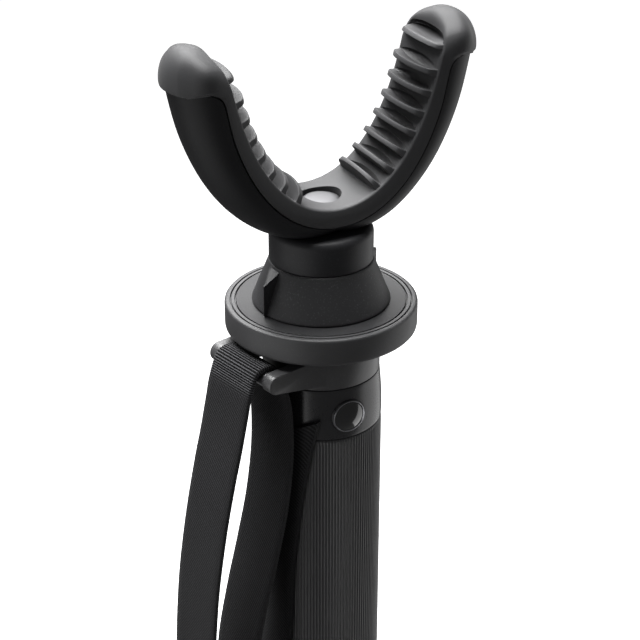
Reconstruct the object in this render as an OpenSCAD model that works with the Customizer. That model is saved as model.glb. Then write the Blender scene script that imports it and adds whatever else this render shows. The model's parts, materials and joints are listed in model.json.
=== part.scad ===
// Telescoping camera monopod with a ribbed U-shaped rest, stored with all sections pushed in.
// Millimetres, +Z up. The origin is on the column's axis at the ground face of the foot.
// The two arms of the rest stand at -X and +X, and the badge on the collar faces -Y.

/* [Column] */
// Height from the foot to the top of the head disc, all sections in
closed_h = 515; // [480:5:600]
// Outer diameter of the upper tube
tube_d = 29.2; // [27:0.2:31]
// Step in diameter from one tube to the next
tube_step = 4.4; // [4:0.1:4.8]
// Wall of every tube
tube_wall = 1.2; // [0.8:0.1:1.5]
// Length of the guide bush in each tube mouth
bush_len = 24; // [14:1:40]
// Length of the slide ring on the top of each inner tube
ring_len = 14; // [8:1:24]

/* [Locks] */
// Height of one lock
lock_h = 28; // [24:0.5:36]
// Air between stacked locks
lock_gap = 2; // [1:0.5:6]
// Wall of a lock round its tube
lock_wall = 3; // [2.5:0.1:5]
// How far a tube reaches into its lock
socket_depth = 14; // [10:0.5:18]
// Width of the split in a lock
split_w = 2; // [1:0.2:4]
// Thickness of each clamping ear
ear_t = 6; // [4:0.5:9]
// Height of each clamping ear
ear_h = 16; // [12:0.5:20]
// Distance of the clamp bolt outside the lock's wall
bolt_out = 4; // [3.5:0.1:7]
// Diameter of the clamp bolt
bolt_d = 4; // [3:0.1:5]
// Diameter of the cross bar that the lever turns on
cross_d = 4.8; // [4:0.1:6]
// Radius of the lever's cam
cam_r = 4; // [3.6:0.1:6]
// How far the cam's centre lies off the cross bar
cam_throw = 0.4; // [0.1:0.1:0.8]
// Height of a lever
lever_h = 15; // [11:0.5:18]
// Thickness of a lever's finger plate
lever_t = 3.6; // [2.5:0.1:5]
// Angle that a lever wraps round its lock
lever_wrap = 92; // [60:1:110]

/* [Foot] */
// Height of the rubber foot
foot_h = 30; // [22:0.5:45]
// Widest diameter of the rubber foot
foot_d = 27; // [24:0.5:36]
// Rubber under the end of the last tube
foot_floor = 6; // [3:0.5:10]

/* [Head] */
// Diameter of the head disc
disc_d = 60; // [54:0.5:70]
// Thickness of the head disc
disc_t = 8.7; // [6:0.1:12]
// Diameter of the pad let into the disc
pad_d = 53; // [46:0.5:54]
// Depth of the pad
pad_t = 0.8; // [0.5:0.1:1.5]
// Diameter of the fine groove outside the pad
groove_d = 56; // [55:0.1:57]
// Length of the plug in the upper tube
plug_len = 26; // [16:1:40]
// Thickness of the plug's flange under the disc
flange_t = 1.6; // [1:0.1:3]
// Diameter of the threaded stud
stud_d = 9.5; // [8:0.1:10]
// Height of the stud over the disc
stud_up = 20.2; // [17:0.1:21]

/* [Strap ring] */
// Outer diameter of the strap ring
ring_d = 37; // [35:0.2:40]
// Height of the strap ring
ring_h = 12.7; // [10:0.1:16]
// Angle of the strap bracket from -X towards -Y
ring_turn = 13.5; // [0:0.5:45]
// Space between the two bracket arms
arm_gap = 22; // [21:0.5:25]
// Thickness of a bracket arm
arm_t = 4; // [3:0.1:5]
// Reach of the arms from the column's axis
arm_reach = 32.4; // [32:0.1:40]
// Height of an arm at its round end
arm_end_h = 6.2; // [5.8:0.1:7]
// Diameter of the bar that carries the strap
bar_d = 5; // [3:0.1:5.2]

/* [Collar and grip] */
// Diameter of the collar at its bulge
collar_d = 38.6; // [37:0.2:41]
// Height of the collar
collar_h = 17.5; // [14:0.5:22]
// Diameter of the domed badge
badge_d = 10.8; // [8:0.1:12]
// How far the badge stands out of the collar
badge_up = 0.9; // [0.4:0.1:1.5]
// Diameter of the rubber grip
grip_d = 38.6; // [36:0.2:41]
// Length of the rubber grip
grip_len = 220; // [150:5:240]

/* [Lock knob] */
// Diameter of the knob at its foot
knob_d = 43.2; // [40:0.2:46]
// Height of the knob
knob_h = 13.8; // [11:0.1:17]
// Diameter over the two finger wings
wing_d = 45; // [43.6:0.2:50]
// Angle that a wing takes to run out
wing_run = 24; // [16:1:80]
// Drop of the chamfer on top of a wing
wing_drop = 3.7; // [2:0.1:6]

/* [Rest] */
// Diameter of the hub under the rest
hub_d = 32.2; // [30:0.2:36]
// Height of the hub
hub_h = 10.8; // [9:0.1:14]
// Width between the arms at their upper ends
cradle_w = 66.4; // [56:0.2:76]
// Height of the arms over the floor of the cradle
cradle_h = 41.3; // [34:0.1:50]
// Front to back depth of the rest
rest_depth = 23.8; // [20:0.2:28]
// Thickness of the rest at the floor
floor_t = 9.2; // [8.6:0.1:12]
// Thickness of an arm
arm_body_t = 15.5; // [13:0.1:20]
// How much the shell swells to the front and back
shell_bulge = 0.9; // [0.2:0.1:2]
// Thickness of the rubber liner
liner_t = 3; // [2.4:0.1:3.6]
// Width of the liner's lip on the front, at the floor
lip_floor = 5.7; // [5:0.1:6.5]
// Width of the liner's lip on the front, up the arms
lip_arm = 3.9; // [3.7:0.1:5.5]
// Number of fins on each arm
fin_count = 7; // [4:1:7]
// Distance from the middle of the floor to the first fin
fin_first = 14; // [12:0.5:15]
// Distance from fin to fin
fin_pitch = 6.45; // [5.5:0.05:6.5]
// Height of a fin at its middle
fin_h = 5; // [2:0.1:5.5]
// Thickness of a fin at its root
fin_root = 2; // [1.6:0.1:2.6]
// Thickness of a fin at its edge
fin_edge = 1.3; // [0.6:0.1:1.5]
// Height of the domed cap on an arm
cap_h = 11; // [7:0.1:13]
// Overhang of the cap's edge round the shell
cap_lip = 1; // [0.4:0.1:1.5]
// Diameter of the round hole in the cradle's floor
eye_d = 12.4; // [10:0.1:14]
// Diameter of the screw head in that hole
head_d = 11.4; // [8:0.1:12]

/* [Wrist strap] */
// Width of the webbing
strap_w = 20; // [15:0.5:21]
// Thickness of the webbing
strap_t = 1.6; // [1:0.1:2]
// How much the free end of the strap is cut on the slant
strap_slant = 0.4; // [0:0.05:0.6]

/* [Hidden] */
$fn = 96;
fit = 0.05;          // radial clearance of a running or seated fit
seat = 0.2;          // air between faces that rest on each other and turn
clear = 0.3;         // air round soft pieces and swinging pieces
eps = 0.01;          // overshoot of a cut

sections = 4;
locks = sections - 1;
function tube_r(i) = (tube_d - i * tube_step) / 2;
function tube_in(i) = tube_r(i) - tube_wall;
function lock_z(i) = foot_h + (locks - 1 - i) * (lock_h + lock_gap) + lock_gap;
function lock_r(i) = tube_r(i) + lock_wall;
function tube_low(i) = i < locks ? lock_z(i) + lock_h - socket_depth : foot_floor;

disc_z = closed_h;
under_disc = disc_z - disc_t;
tube_top_z = under_disc - flange_t;
plug_low = tube_top_z - plug_len;
top_step = 5;
function tube_top(i) = i == 0 ? tube_top_z : plug_low - top_step * i;

stud_r = stud_d / 2;
pad_hole_r = stud_r + 4;
screw_d = 6;
flange_r = ring_d / 2 - 1.5;
ring_r = ring_d / 2;
ring_top = tube_top_z - seat;
ring_low = ring_top - ring_h;
collar_r = collar_d / 2;
collar_low = ring_low - collar_h;
grip_r = grip_d / 2;
grip_low = collar_low - grip_len;

knob_z = disc_z + seat;
hub_z = knob_z + knob_h + seat;
hub_top = hub_z + hub_h;
cradle_z = hub_top + floor_t;
head_seat = cradle_z - liner_t - 2 * clear;

// Lock, drawn with its ears at +X, its lever on the +Y side and its base at z = 0.

bolt_z = ear_h / 2 + 2;
ear_y = split_w / 2 + ear_t;
pivot_y = ear_y + cam_r + cam_throw + fit;
function bolt_x(i) = lock_r(i) + bolt_out;
function lever_in(i) = lock_r(i) + clear * 2;
nut_t = 4;
nut_d = bolt_d * 2;
bolt_end = 1.5;

module rounded_plate(w, h, r) {
    translate([r, 0]) square([w - 2 * r, h]);
    translate([0, r]) square([w, h - 2 * r]);
    for (x = [r, w - r], y = [r, h - r]) translate([x, y]) circle(r);
}

module ring_solid(r_in, r_out, h) {
    difference() {
        cylinder(r = r_out, h = h);
        translate([0, 0, -eps]) cylinder(r = r_in, h = h + 2 * eps);
    }
}

module lock_body(i) {
    rim = 1.2;
    low = lock_h - socket_depth;
    ear_w = lock_wall + bolt_out + bolt_d;
    ear_round = 3;
    difference() {
        union() {
            rotate_extrude() polygon([[0, 0], [lock_r(i) - rim, 0], [lock_r(i), rim],
                [lock_r(i), lock_h - rim], [lock_r(i) - rim, lock_h], [0, lock_h]]);
            translate([lock_r(i) - lock_wall, ear_y, bolt_z - ear_h / 2]) rotate([90, 0, 0])
                linear_extrude(2 * ear_y) rounded_plate(ear_w, ear_h, ear_round);
        }
        translate([0, 0, low]) cylinder(r = tube_r(i) + fit / 2, h = socket_depth + eps);
        translate([0, 0, -eps]) cylinder(r = tube_r(i + 1) + clear, h = lock_h);
        translate([0, -split_w / 2, -eps]) cube([bolt_x(i) * 2, split_w, bolt_z + ear_h / 2 + split_w]);
        translate([bolt_x(i), ear_y + eps, bolt_z]) rotate([90, 0, 0])
            cylinder(d = bolt_d + 2 * fit, h = 2 * (ear_y + eps));
    }
}

module lock_bolt(i) {
    translate([bolt_x(i), 0, bolt_z]) {
        translate([0, pivot_y, 0]) rotate([90, 0, 0])
            cylinder(d = bolt_d, h = pivot_y + ear_y + nut_t + bolt_end);
        translate([0, pivot_y, -lever_h / 2]) cylinder(d = cross_d, h = lever_h);
    }
}

module lock_nut(i) {
    translate([bolt_x(i), -ear_y, bolt_z]) rotate([90, 0, 0]) difference() {
        cylinder(d = nut_d, h = nut_t, $fn = 6);
        translate([0, 0, -eps]) cylinder(d = bolt_d + fit, h = nut_t + 2 * eps);
    }
}

// Plan of a lever: a cam, a neck and a curved finger plate that ends in a lifted tip.
module lever_plan(i) {
    pivot = [bolt_x(i), pivot_y];
    r_in = lever_in(i);
    r_out = r_in + lever_t;
    start = atan2(pivot.y, pivot.x) + 22;
    stop = start + lever_wrap;
    overlap = 6;
    tip = 2.6;
    function at(r, a) = [r * cos(a), r * sin(a)];
    translate(pivot - [0, cam_throw]) circle(cam_r);
    polygon([pivot + [cam_r, 0], at(r_out, start), at(r_in + lever_t / 2, start + overlap), at(r_in, start),
        pivot - [cam_r, 0]]);
    difference() {
        circle(r_out);
        circle(r_in);
        polygon([[0, 0], at(2 * r_out, stop), at(2 * r_out, stop + 90), at(2 * r_out, stop + 180),
            at(2 * r_out, start - 60), at(2 * r_out, start)]);
    }
    translate(at(r_in + tip, stop)) circle(tip);
}

module lock_lever(i) {
    fork = bolt_d + 2 * clear;
    translate([0, 0, bolt_z]) difference() {
        translate([0, 0, -lever_h / 2]) linear_extrude(lever_h) lever_plan(i);
        translate([bolt_x(i), pivot_y, -lever_h]) cylinder(d = cross_d + 2 * fit, h = 2 * lever_h);
        translate([bolt_x(i), pivot_y, -fork / 2]) cylinder(r = cam_r + cam_throw + 3 * clear, h = fork);
    }
}

module lock_place(i) {
    translate([0, 0, lock_z(i)]) children();
}

// Column

module tube(i) {
    color([0.09, 0.09, 0.1]) translate([0, 0, tube_low(i)])
        ring_solid(tube_in(i), tube_r(i), tube_top(i) - tube_low(i));
}

module guide_bush(i) {
    color([0.2, 0.2, 0.21]) translate([0, 0, tube_low(i)])
        ring_solid(tube_r(i + 1) + fit, tube_in(i) - fit / 2, bush_len);
}

module slide_ring(i) {
    cap = 1.5;
    color([0.2, 0.2, 0.21]) translate([0, 0, tube_top(i)]) {
        translate([0, 0, -ring_len]) ring_solid(tube_r(i) + fit / 2, tube_in(i - 1) - fit, ring_len);
        ring_solid(tube_in(i), tube_in(i - 1) - fit, cap);
    }
}

module lock(i) {
    color([0.07, 0.07, 0.08]) lock_place(i) lock_body(i);
}

module lever(i) {
    color([0.1, 0.1, 0.11]) lock_place(i) lock_lever(i);
}

module clamp_bolt(i) {
    color([0.7, 0.7, 0.72]) lock_place(i) lock_bolt(i);
}

module clamp_nut(i) {
    color([0.65, 0.65, 0.67]) lock_place(i) lock_nut(i);
}

module foot() {
    r = foot_d / 2;
    neck_r = tube_r(locks) + 2.6;
    tread = r - 2;
    color([0.06, 0.06, 0.065]) difference() {
        rotate_extrude() polygon([[0, 0], [tread, 0], [r, 2.5], [r, foot_h * 0.3], [neck_r, foot_h * 0.55],
            [neck_r, foot_h - 1], [neck_r - 1, foot_h], [0, foot_h]]);
        translate([0, 0, foot_floor]) cylinder(r = tube_r(locks) + fit / 2, h = foot_h);
    }
}

module foot_plug() {
    color([0.2, 0.2, 0.21]) translate([0, 0, foot_floor])
        cylinder(r = tube_in(locks) - fit / 2, h = foot_h * 0.7);
}

// Head

module top_plug() {
    color([0.55, 0.55, 0.57]) difference() {
        union() {
            translate([0, 0, plug_low]) cylinder(r = tube_in(0) - fit / 2, h = plug_len + eps);
            translate([0, 0, tube_top_z]) cylinder(r = flange_r, h = flange_t);
        }
        translate([0, 0, plug_low - eps]) cylinder(r = stud_r + fit / 2, h = plug_len + flange_t + 2 * eps);
    }
}

module stud() {
    tip = 1;
    color([0.75, 0.75, 0.77]) rotate_extrude() polygon([[0, plug_low], [stud_r, plug_low],
        [stud_r, disc_z + stud_up - tip], [stud_r - tip, disc_z + stud_up], [0, disc_z + stud_up]]);
}

module head_disc() {
    r = disc_d / 2;
    edge = 0.8;
    low_edge = 1.1;
    groove_w = 0.5;
    color([0.1, 0.1, 0.105]) difference() {
        rotate_extrude() polygon([[stud_r + fit, under_disc], [r - low_edge, under_disc],
            [r, under_disc + low_edge], [r, disc_z - edge], [r - edge, disc_z], [stud_r + fit, disc_z]]);
        translate([0, 0, disc_z - pad_t]) ring_solid(pad_hole_r, pad_d / 2 + fit, pad_t + eps);
        translate([0, 0, disc_z - groove_w])
            ring_solid((groove_d - groove_w) / 2, (groove_d + groove_w) / 2, 2 * groove_w);
    }
}

module disc_pad() {
    color([0.3, 0.3, 0.31]) translate([0, 0, disc_z - pad_t]) ring_solid(pad_hole_r + fit, pad_d / 2, pad_t);
}

// Strap ring, drawn with its bracket towards -X and turned into place.

bar_x = arm_reach - arm_end_h / 2;
arm_top = ring_top - 1.2;
bar_z = arm_top - arm_end_h / 2;
bar_len = arm_gap + arm_t;

module at_ring() {
    rotate([0, 0, ring_turn]) children();
}

module at_bar() {
    translate([-bar_x, bar_len / 2, bar_z]) rotate([90, 0, 0]) children();
}

module bracket_arm() {
    linear_extrude(arm_t) {
        polygon([[0, arm_top], [-bar_x, arm_top], [-bar_x, arm_top - arm_end_h], [0, ring_low]]);
        translate([-bar_x, bar_z]) circle(d = arm_end_h);
    }
}

module strap_ring() {
    bore = tube_r(0) + fit / 2;
    color([0.08, 0.08, 0.085]) at_ring() difference() {
        union() {
            translate([0, 0, ring_low]) cylinder(r = ring_r, h = ring_h);
            for (y = [arm_gap / 2 + arm_t, -arm_gap / 2])
                translate([0, y, 0]) rotate([90, 0, 0]) bracket_arm();
        }
        translate([0, 0, ring_low - eps]) cylinder(r = bore, h = ring_h + 2 * eps);
        at_bar() cylinder(d = bar_d + fit, h = bar_len);
    }
}

module strap_bar() {
    color([0.7, 0.7, 0.72]) at_ring() at_bar() cylinder(d = bar_d, h = bar_len);
}

// Collar with a round pocket for its badge, and the grip sleeve under it.

badge_z = (ring_low + collar_low) / 2 - 0.8;
badge_seat = collar_r - 1.4;

module collar() {
    edge = 0.5;
    bow = (collar_d - ring_d) / 2;
    steps = 8;
    side = [for (k = [0:steps]) [ring_r + bow * sin(120 * k / steps), ring_low - seat
        - (collar_h - seat) * k / steps]];
    color([0.08, 0.08, 0.085]) difference() {
        rotate_extrude() polygon(concat([[tube_r(0) + fit / 2, ring_low - seat]], side,
            [[tube_r(0) + fit / 2, collar_low]]));
        translate([0, -badge_seat, badge_z]) rotate([90, 0, 0]) cylinder(d = badge_d + 2 * fit, h = collar_r);
        translate([0, 0, collar_low - eps]) ring_solid(collar_r - edge, collar_r * 2, edge);
    }
}

module badge() {
    rise = collar_r - badge_seat + badge_up;
    rim_h = rise - 0.6 * badge_up - 0.2;
    r = badge_d / 2;
    steps = 6;
    dome = [for (k = [0:steps]) [r * cos(90 * k / steps), rim_h + (rise - rim_h) * sin(90 * k / steps)]];
    color([0.75, 0.75, 0.78]) translate([0, -badge_seat, badge_z]) rotate([90, 0, 0])
        rotate_extrude() polygon(concat([[0, 0], [r, 0]], dome));
}

module grip() {
    lip = 1.2;
    bead = 1.4;
    r = grip_r;
    inner = tube_r(0) + fit / 2;
    top = collar_low;
    color([0.06, 0.06, 0.065]) rotate_extrude() polygon([[inner, top], [r - lip / 2, top], [r, top - lip],
        [r, grip_low + 8 * bead], [r + bead, grip_low + 5 * bead], [r + bead, grip_low + bead],
        [r, grip_low], [inner, grip_low]]);
}

// Lock knob: a cone with two finger wings whose steps face the same way round.

module lock_knob() {
    bore = stud_r + fit;
    top_r = hub_d / 2;
    wing_r = wing_d / 2;
    dip = 0.4;
    color([0.09, 0.09, 0.095]) translate([0, 0, knob_z]) difference() {
        union() {
            cylinder(r1 = knob_d / 2, r2 = top_r, h = knob_h);
            intersection() {
                for (half = [0, 180]) rotate([0, 0, 180 + ring_turn + half]) linear_extrude(knob_h)
                    polygon([[0, 0], [wing_r + dip, 0], top_r * [cos(-wing_run), sin(-wing_run)]]);
                rotate_extrude() polygon([[0, 0], [wing_r, 0], [wing_r, knob_h - wing_drop],
                    [top_r - 2 * dip, knob_h - dip], [0, knob_h - dip]]);
            }
        }
        translate([0, 0, -eps]) cylinder(r = bore, h = knob_h + 2 * eps);
    }
}

// Rest: hub, shell, liner and screw. A section of the rest lies across the arm, with y to the back
// and d the depth from the liner's face out to the back of the shell. Sections run along s, the
// distance from the middle of the cradle's floor, negative on the left arm.

function bezier(p, t) = let (u = 1 - t)
    p[0] * u * u * u + 3 * p[1] * t * u * u + 3 * p[2] * t * t * u + p[3] * t * t * t;
function slope(p, t) = let (u = 1 - t,
    v = (p[1] - p[0]) * u * u + 2 * (p[2] - p[1]) * t * u + (p[3] - p[2]) * t * t) atan2(v.y, v.x);
function ease(a, b, x) = let (k = max(0, min(1, (x - a) / (b - a)))) k * k * (3 - 2 * k);

arm_tip = [cradle_w / 2, cradle_h];
arm_curve = [[0, 0], [0.51 * arm_tip.x, 0], [0.85 * arm_tip.x, 0.44 * arm_tip.y], arm_tip];

// Table of distance along the arm's curve against its parameter
path_steps = 60;
path_table = [for (i = 0, s = 0; i <= path_steps;
    s = s + norm(bezier(arm_curve, min(1, (i + 1) / path_steps)) - bezier(arm_curve, i / path_steps)),
    i = i + 1) [s, i / path_steps]];
path_len = path_table[path_steps][0];
function t_at(s) = lookup(s, path_table);

shell_end = path_len - 1.2;       // where the shell stops under the cap
cap_start = shell_end + clear;    // where the cap closes over the shell
arm_s = 0.85 * path_len;          // where an arm has its full thickness
turn_s = 0.7 * path_len;          // where the sections start to turn level
tip_turn = 2;                     // slope of the last sections
lip_rise = 7;                     // length over which the lip widens into the cap
lip_power = 5;                    // how late in that length it widens
lip_full = 0.86;                  // share of the thickness that the lip covers at the cap
thick_power = 2.6;                // how soon an arm thickens along its length
belly = 0.32;                     // share of the thickness at which the body is deepest
round_floor = 2.6;                // roundness of the shell's back at the floor
round_arm = 2;                    // roundness of the shell's back on the arms

// Direction of a section outwards from the cradle, its thickness, and the width of the liner's lip
function out_dir(s) = let (b = ease(turn_s, path_len, s))
    (1 - b) * (slope(arm_curve, t_at(s)) - 90) + b * tip_turn;
function body_t(s) = floor_t + (arm_body_t - floor_t) * (1 - pow(1 - min(s / arm_s, 1), thick_power));
function lip(s) = let (w = lip_floor + (lip_arm - lip_floor) * min(s / arm_s, 1),
    k = max(0, min(1, (s - shell_end + lip_rise) / lip_rise)))
    w + (lip_full * body_t(s) - w) * pow(k, lip_power);

// Half depth of the body at depth d: it swells from the liner to the belly, then rounds off to the back
function half_depth(d, s) = let (t = body_t(s), m = belly * t, full = rest_depth / 2 + shell_bulge,
    p = round_floor + (round_arm - round_floor) * ease(0, arm_s / 2, s))
    d <= m ? rest_depth / 2 + shell_bulge * sin(90 * max(d, 0) / m)
        : full * pow(max(0, 1 - pow(min(1, (d - m) / (t - m)), p)), 1 / p);

// A point of the section at s. Depths under zero are fin heights, square to the arm's curve.
function place(s, y, d) = let (a = abs(s), i = bezier(arm_curve, t_at(a)),
    dir = d < 0 ? slope(arm_curve, t_at(a)) - 90 : out_dir(a))
    [(s < 0 ? -1 : 1) * (i.x + d * cos(dir)), y, cradle_z + i.y + d * sin(dir)];

// Skin over a row of sections, each four-cornered patch split along its shorter diagonal.
// A fan from each of two hubs closes the ends, a flat face without hubs.
module sweep(rings, hubs = []) {
    n = len(rings[0]);
    m = len(rings);
    total = n * m;
    points = [for (r = rings) each r];
    sides = [for (i = [0:m - 2], j = [0:n - 1]) each let (a = i * n + j, b = i * n + (j + 1) % n)
        norm(points[a] - points[b + n]) < norm(points[b] - points[a + n])
            ? [[a, b, b + n], [a, b + n, a + n]] : [[a, b, a + n], [b, b + n, a + n]]];
    flat_ends = [[for (j = [n - 1:-1:0]) j], [for (j = [0:n - 1]) (m - 1) * n + j]];
    fan_ends = [for (j = [0:n - 1]) each let (b = (j + 1) % n)
        [[total, b, j], [total + 1, (m - 1) * n + j, (m - 1) * n + b]]];
    polyhedron(concat(points, hubs), concat(sides, len(hubs) > 0 ? fan_ends : flat_ends), convexity = 10);
}

function mirrored(list) = [for (k = [len(list) - 1:-1:0]) [-list[k].x, list[k].y]];
function backwards(list) = [for (k = [len(list) - 1:-1:0]) list[k]];
function ring3(s, section) = [for (p = section) place(s, p.x, p.y)];
function sorted(list) = len(list) < 2 ? list : let (p = list[floor(len(list) / 2)])
    concat(sorted([for (x = list) if (x < p) x]), [p], sorted([for (x = list) if (x > p) x]));

// Shell: a neck between the liner's lips and a round back outside them
lip_wall = 1.8;
back_steps = 6;
function shell_section(s) = let (a = abs(s), top = liner_t + clear, low = lip(a + clear) + clear,
    t = body_t(a), mid = (top + low) / 2,
    neck = function(d) half_depth(d, a) - lip_wall - clear,
    back = [for (k = [1:back_steps - 1]) low + (t - low) * sin(90 * k / back_steps)],
    right = concat([[neck(mid), mid], [neck(low), low], [half_depth(low, a), low]],
        [for (d = back) [half_depth(d, a), d]]))
    concat([for (k = [-2:2]) [neck(top) * k / 2, top]], right, [[0, t]], mirrored(right));

shell_steps = 18;
rise_steps = 12;
rise_crowd = 1.7;
rise_marks = [for (k = [1:rise_steps]) shell_end - lip_rise * pow(1 - k / rise_steps, rise_crowd)];
shell_marks = concat([for (k = [0:shell_steps]) (shell_end - lip_rise) * k / shell_steps], rise_marks);

module rest_shell() {
    marks = concat([for (k = [len(shell_marks) - 1:-1:1]) -shell_marks[k]], shell_marks);
    rings = [for (s = marks) [for (q = ring3(s, shell_section(s))) [q.x, q.y, max(q.z, hub_top)]]];
    hub_d = (lip(shell_end + clear) + body_t(shell_end)) / 2;
    color([0.035, 0.035, 0.04]) difference() {
        sweep(rings, [for (side = [-1, 1]) place(side * shell_end, 0, hub_d)]);
        translate([0, 0, hub_top - floor_t]) cylinder(d = screw_d + 2 * fit, h = 2 * floor_t);
        translate([0, 0, head_seat]) cylinder(d = head_d + 2 * clear, h = floor_t);
    }
}

// Liner: its face carries the fins, whose edges are bowed from front to back
lip_round = 1.2;
lip_proud = 0.25;
fin_half = rest_depth / 2 - lip_round;
fin_end = 1.1;
function fin_lens(y) = fin_end + (fin_h - fin_end) * sqrt(max(0, 1 - pow(y / fin_half, 2)));
across = 10;
function liner_face(fin) = [for (k = [0:across]) let (y = -fin_half * cos(180 * k / across))
    [y, -fin * fin_lens(y)]];

// A channel section holds the shell between its lips, and a full section closes the cap
lip_parts = [0.4, 0.65, 0.85, 1];
function channel(s, fin) = let (a = abs(s), w = lip(a), wide = half_depth(liner_t, a) - lip_wall,
    side = [for (d = concat([lip_round], lip_parts * w)) [half_depth(d, a) + lip_proud, d]],
    inner = [for (d = [w, (w + liner_t) / 2, liner_t]) [half_depth(d, a) - lip_wall, d]])
    concat(liner_face(fin), side, inner, [for (k = [2:-1:-2]) [wide * k / 3, liner_t]],
        mirrored(inner), mirrored(side));

cap_steps = 18;
cap_square = 0.8;
cap_belly = 0.45;
function full_section(s, fin) = let (t = body_t(abs(s)) + cap_lip, m = cap_belly * t,
    wide = rest_depth / 2 + shell_bulge + cap_lip / 2, corner = [[rest_depth / 2 + lip_proud, lip_round]])
    concat(liner_face(fin), corner, [for (k = [0:cap_steps]) let (c = cos(180 * k / cap_steps))
        [wide * sign(c) * pow(abs(c), cap_square), m + (t - m) * pow(sin(180 * k / cap_steps), cap_square)]],
        mirrored(corner));

// Share of a fin's height at s, and the places along an arm where a section is drawn
function fin_at(k) = fin_first + k * fin_pitch;
function fin_share(s) = let (k = round((s - fin_first) / fin_pitch), off = abs(s - fin_at(k)))
    k < 0 || k >= fin_count ? 0 : max(0, min(1, (fin_root - 2 * off) / (fin_root - fin_edge)));
fin_marks = [for (k = [0:fin_count - 1], m = [-fin_root, -fin_edge, fin_edge, fin_root]) fin_at(k) + m / 2];
floor_marks = [for (k = [0:3]) k * (fin_first - fin_root) / 4];
gap_marks = [for (k = [0:fin_count - 2], m = [1, 2])
    fin_at(k) + fin_root / 2 + (fin_pitch - fin_root) * m / 3];
other_marks = concat(floor_marks, gap_marks, rise_marks);
liner_marks = sorted(concat([for (m = fin_marks) if (m < shell_end) m],
    [for (m = other_marks) if (min([for (f = fin_marks) abs(f - m)]) > clear) m], [cap_start]));

// The cap's dome: the last full section drawn in towards its top. Inside, the wall falls back up to an
// overhanging hood and carries one more fin. Each entry is an angle up the dome and the share of a
// fin's height there.
dome_rings = [[0, 0], [8, 0], [15.5, 0], [17.5, 0.93], [22, 0.93], [24, 0], [32.8, 0], [33.2, 0], [42, 0],
    [52, 0], [62, 0], [72, 0], [81, 0], [87, 0]];
dome_shift = 0.6;
dome_narrow = 0.8;                // how soon the dome narrows from front to back
wall_bend = 1.3;                  // how late the wall under the hood falls back
hood_angle = 33;
hood_back = 0.5;                  // share of the wall's way out that is left under the hood
hood_over = 0.17;                 // share that the hood's edge stands out over it
hood_round = 0.5;                 // how full the dome is over the hood
inner_edge = [0.05, 0.45];        // where the dome's inner side starts and is full, in thicknesses
function inner_draw(f) = f < hood_angle ? 1 - (1 - hood_back) * pow(f / hood_angle, wall_bend)
    : (hood_back + hood_over) * pow(cos(90 * (f - hood_angle) / (90 - hood_angle)), hood_round);
function dome(side) = let (s = side * path_len, t = body_t(path_len), mid = place(s, 0, (t + cap_lip) / 2),
    lift = [side * dome_shift, 0, cap_h], base = ring3(s, full_section(s, 0)))
    [for (f = dome_rings) let (c = cos(f[0]), draw = inner_draw(f[0]))
        [for (k = [0:len(base) - 1]) let (v = base[k] - mid,
            inside = ease(inner_edge[0], inner_edge[1], -side * v.x / t),
            fin = k <= across ? side * f[1] * fin_lens(base[k].y) : 0)
            mid + lift * sin(f[0])
                + [v.x * (c + inside * (draw - c)) - fin, v.y * pow(c, dome_narrow), v.z * c]]];

function middle(ring) = [for (k = [0:2]) let (list = [for (p = ring) p[k]]) (min(list) + max(list)) / 2];
function liner_half(side) = concat([for (m = liner_marks) ring3(side * m, channel(m, fin_share(m)))],
    [ring3(side * (cap_start + clear / 2), full_section(cap_start, 0))], dome(side));

module rest_liner() {
    left = liner_half(-1);
    rings = concat(backwards([for (k = [1:len(left) - 1]) left[k]]), liner_half(1));
    color([0.13, 0.13, 0.135]) difference() {
        sweep(rings, [middle(rings[0]), middle(rings[len(rings) - 1])]);
        translate([0, 0, cradle_z - 2 * liner_t]) cylinder(d = eye_d, h = 4 * liner_t);
    }
}

module rest_hub() {
    r = hub_d / 2;
    round = 2.2;
    steps = 6;
    bore = stud_r + fit;
    bore_top = disc_z + stud_up + 0.3;
    shoulder = [for (k = [0:steps]) let (a = 90 * k / steps)
        [r - round + round * cos(a), hub_top - round + round * sin(a)]];
    color([0.08, 0.08, 0.085]) rotate_extrude() polygon(concat([[bore, hub_z], [r, hub_z]], shoulder,
        [[screw_d / 2 + fit, hub_top], [screw_d / 2 + fit, bore_top], [bore, bore_top]]));
}

module rest_screw() {
    head_h = 2.2;
    r = head_d / 2;
    end = disc_z + stud_up + 1;
    steps = 6;
    dome = [for (k = [0:steps]) let (a = 90 * k / steps) [r * cos(a), head_seat + head_h / 2 * (1 + sin(a))]];
    color([0.78, 0.78, 0.8]) rotate_extrude() polygon(concat([[0, end], [screw_d / 2, end],
        [screw_d / 2, head_seat], [r, head_seat]], dome));
}

// Wrist strap: one length of webbing. From its free end it lies down the grip, turns up at the bottom,
// goes over the bar and comes back down to where it is sewn to itself. A route point is
// [distance out from the grip, drop under the disc, turn round the axis, share of the grip's curve].

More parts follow.
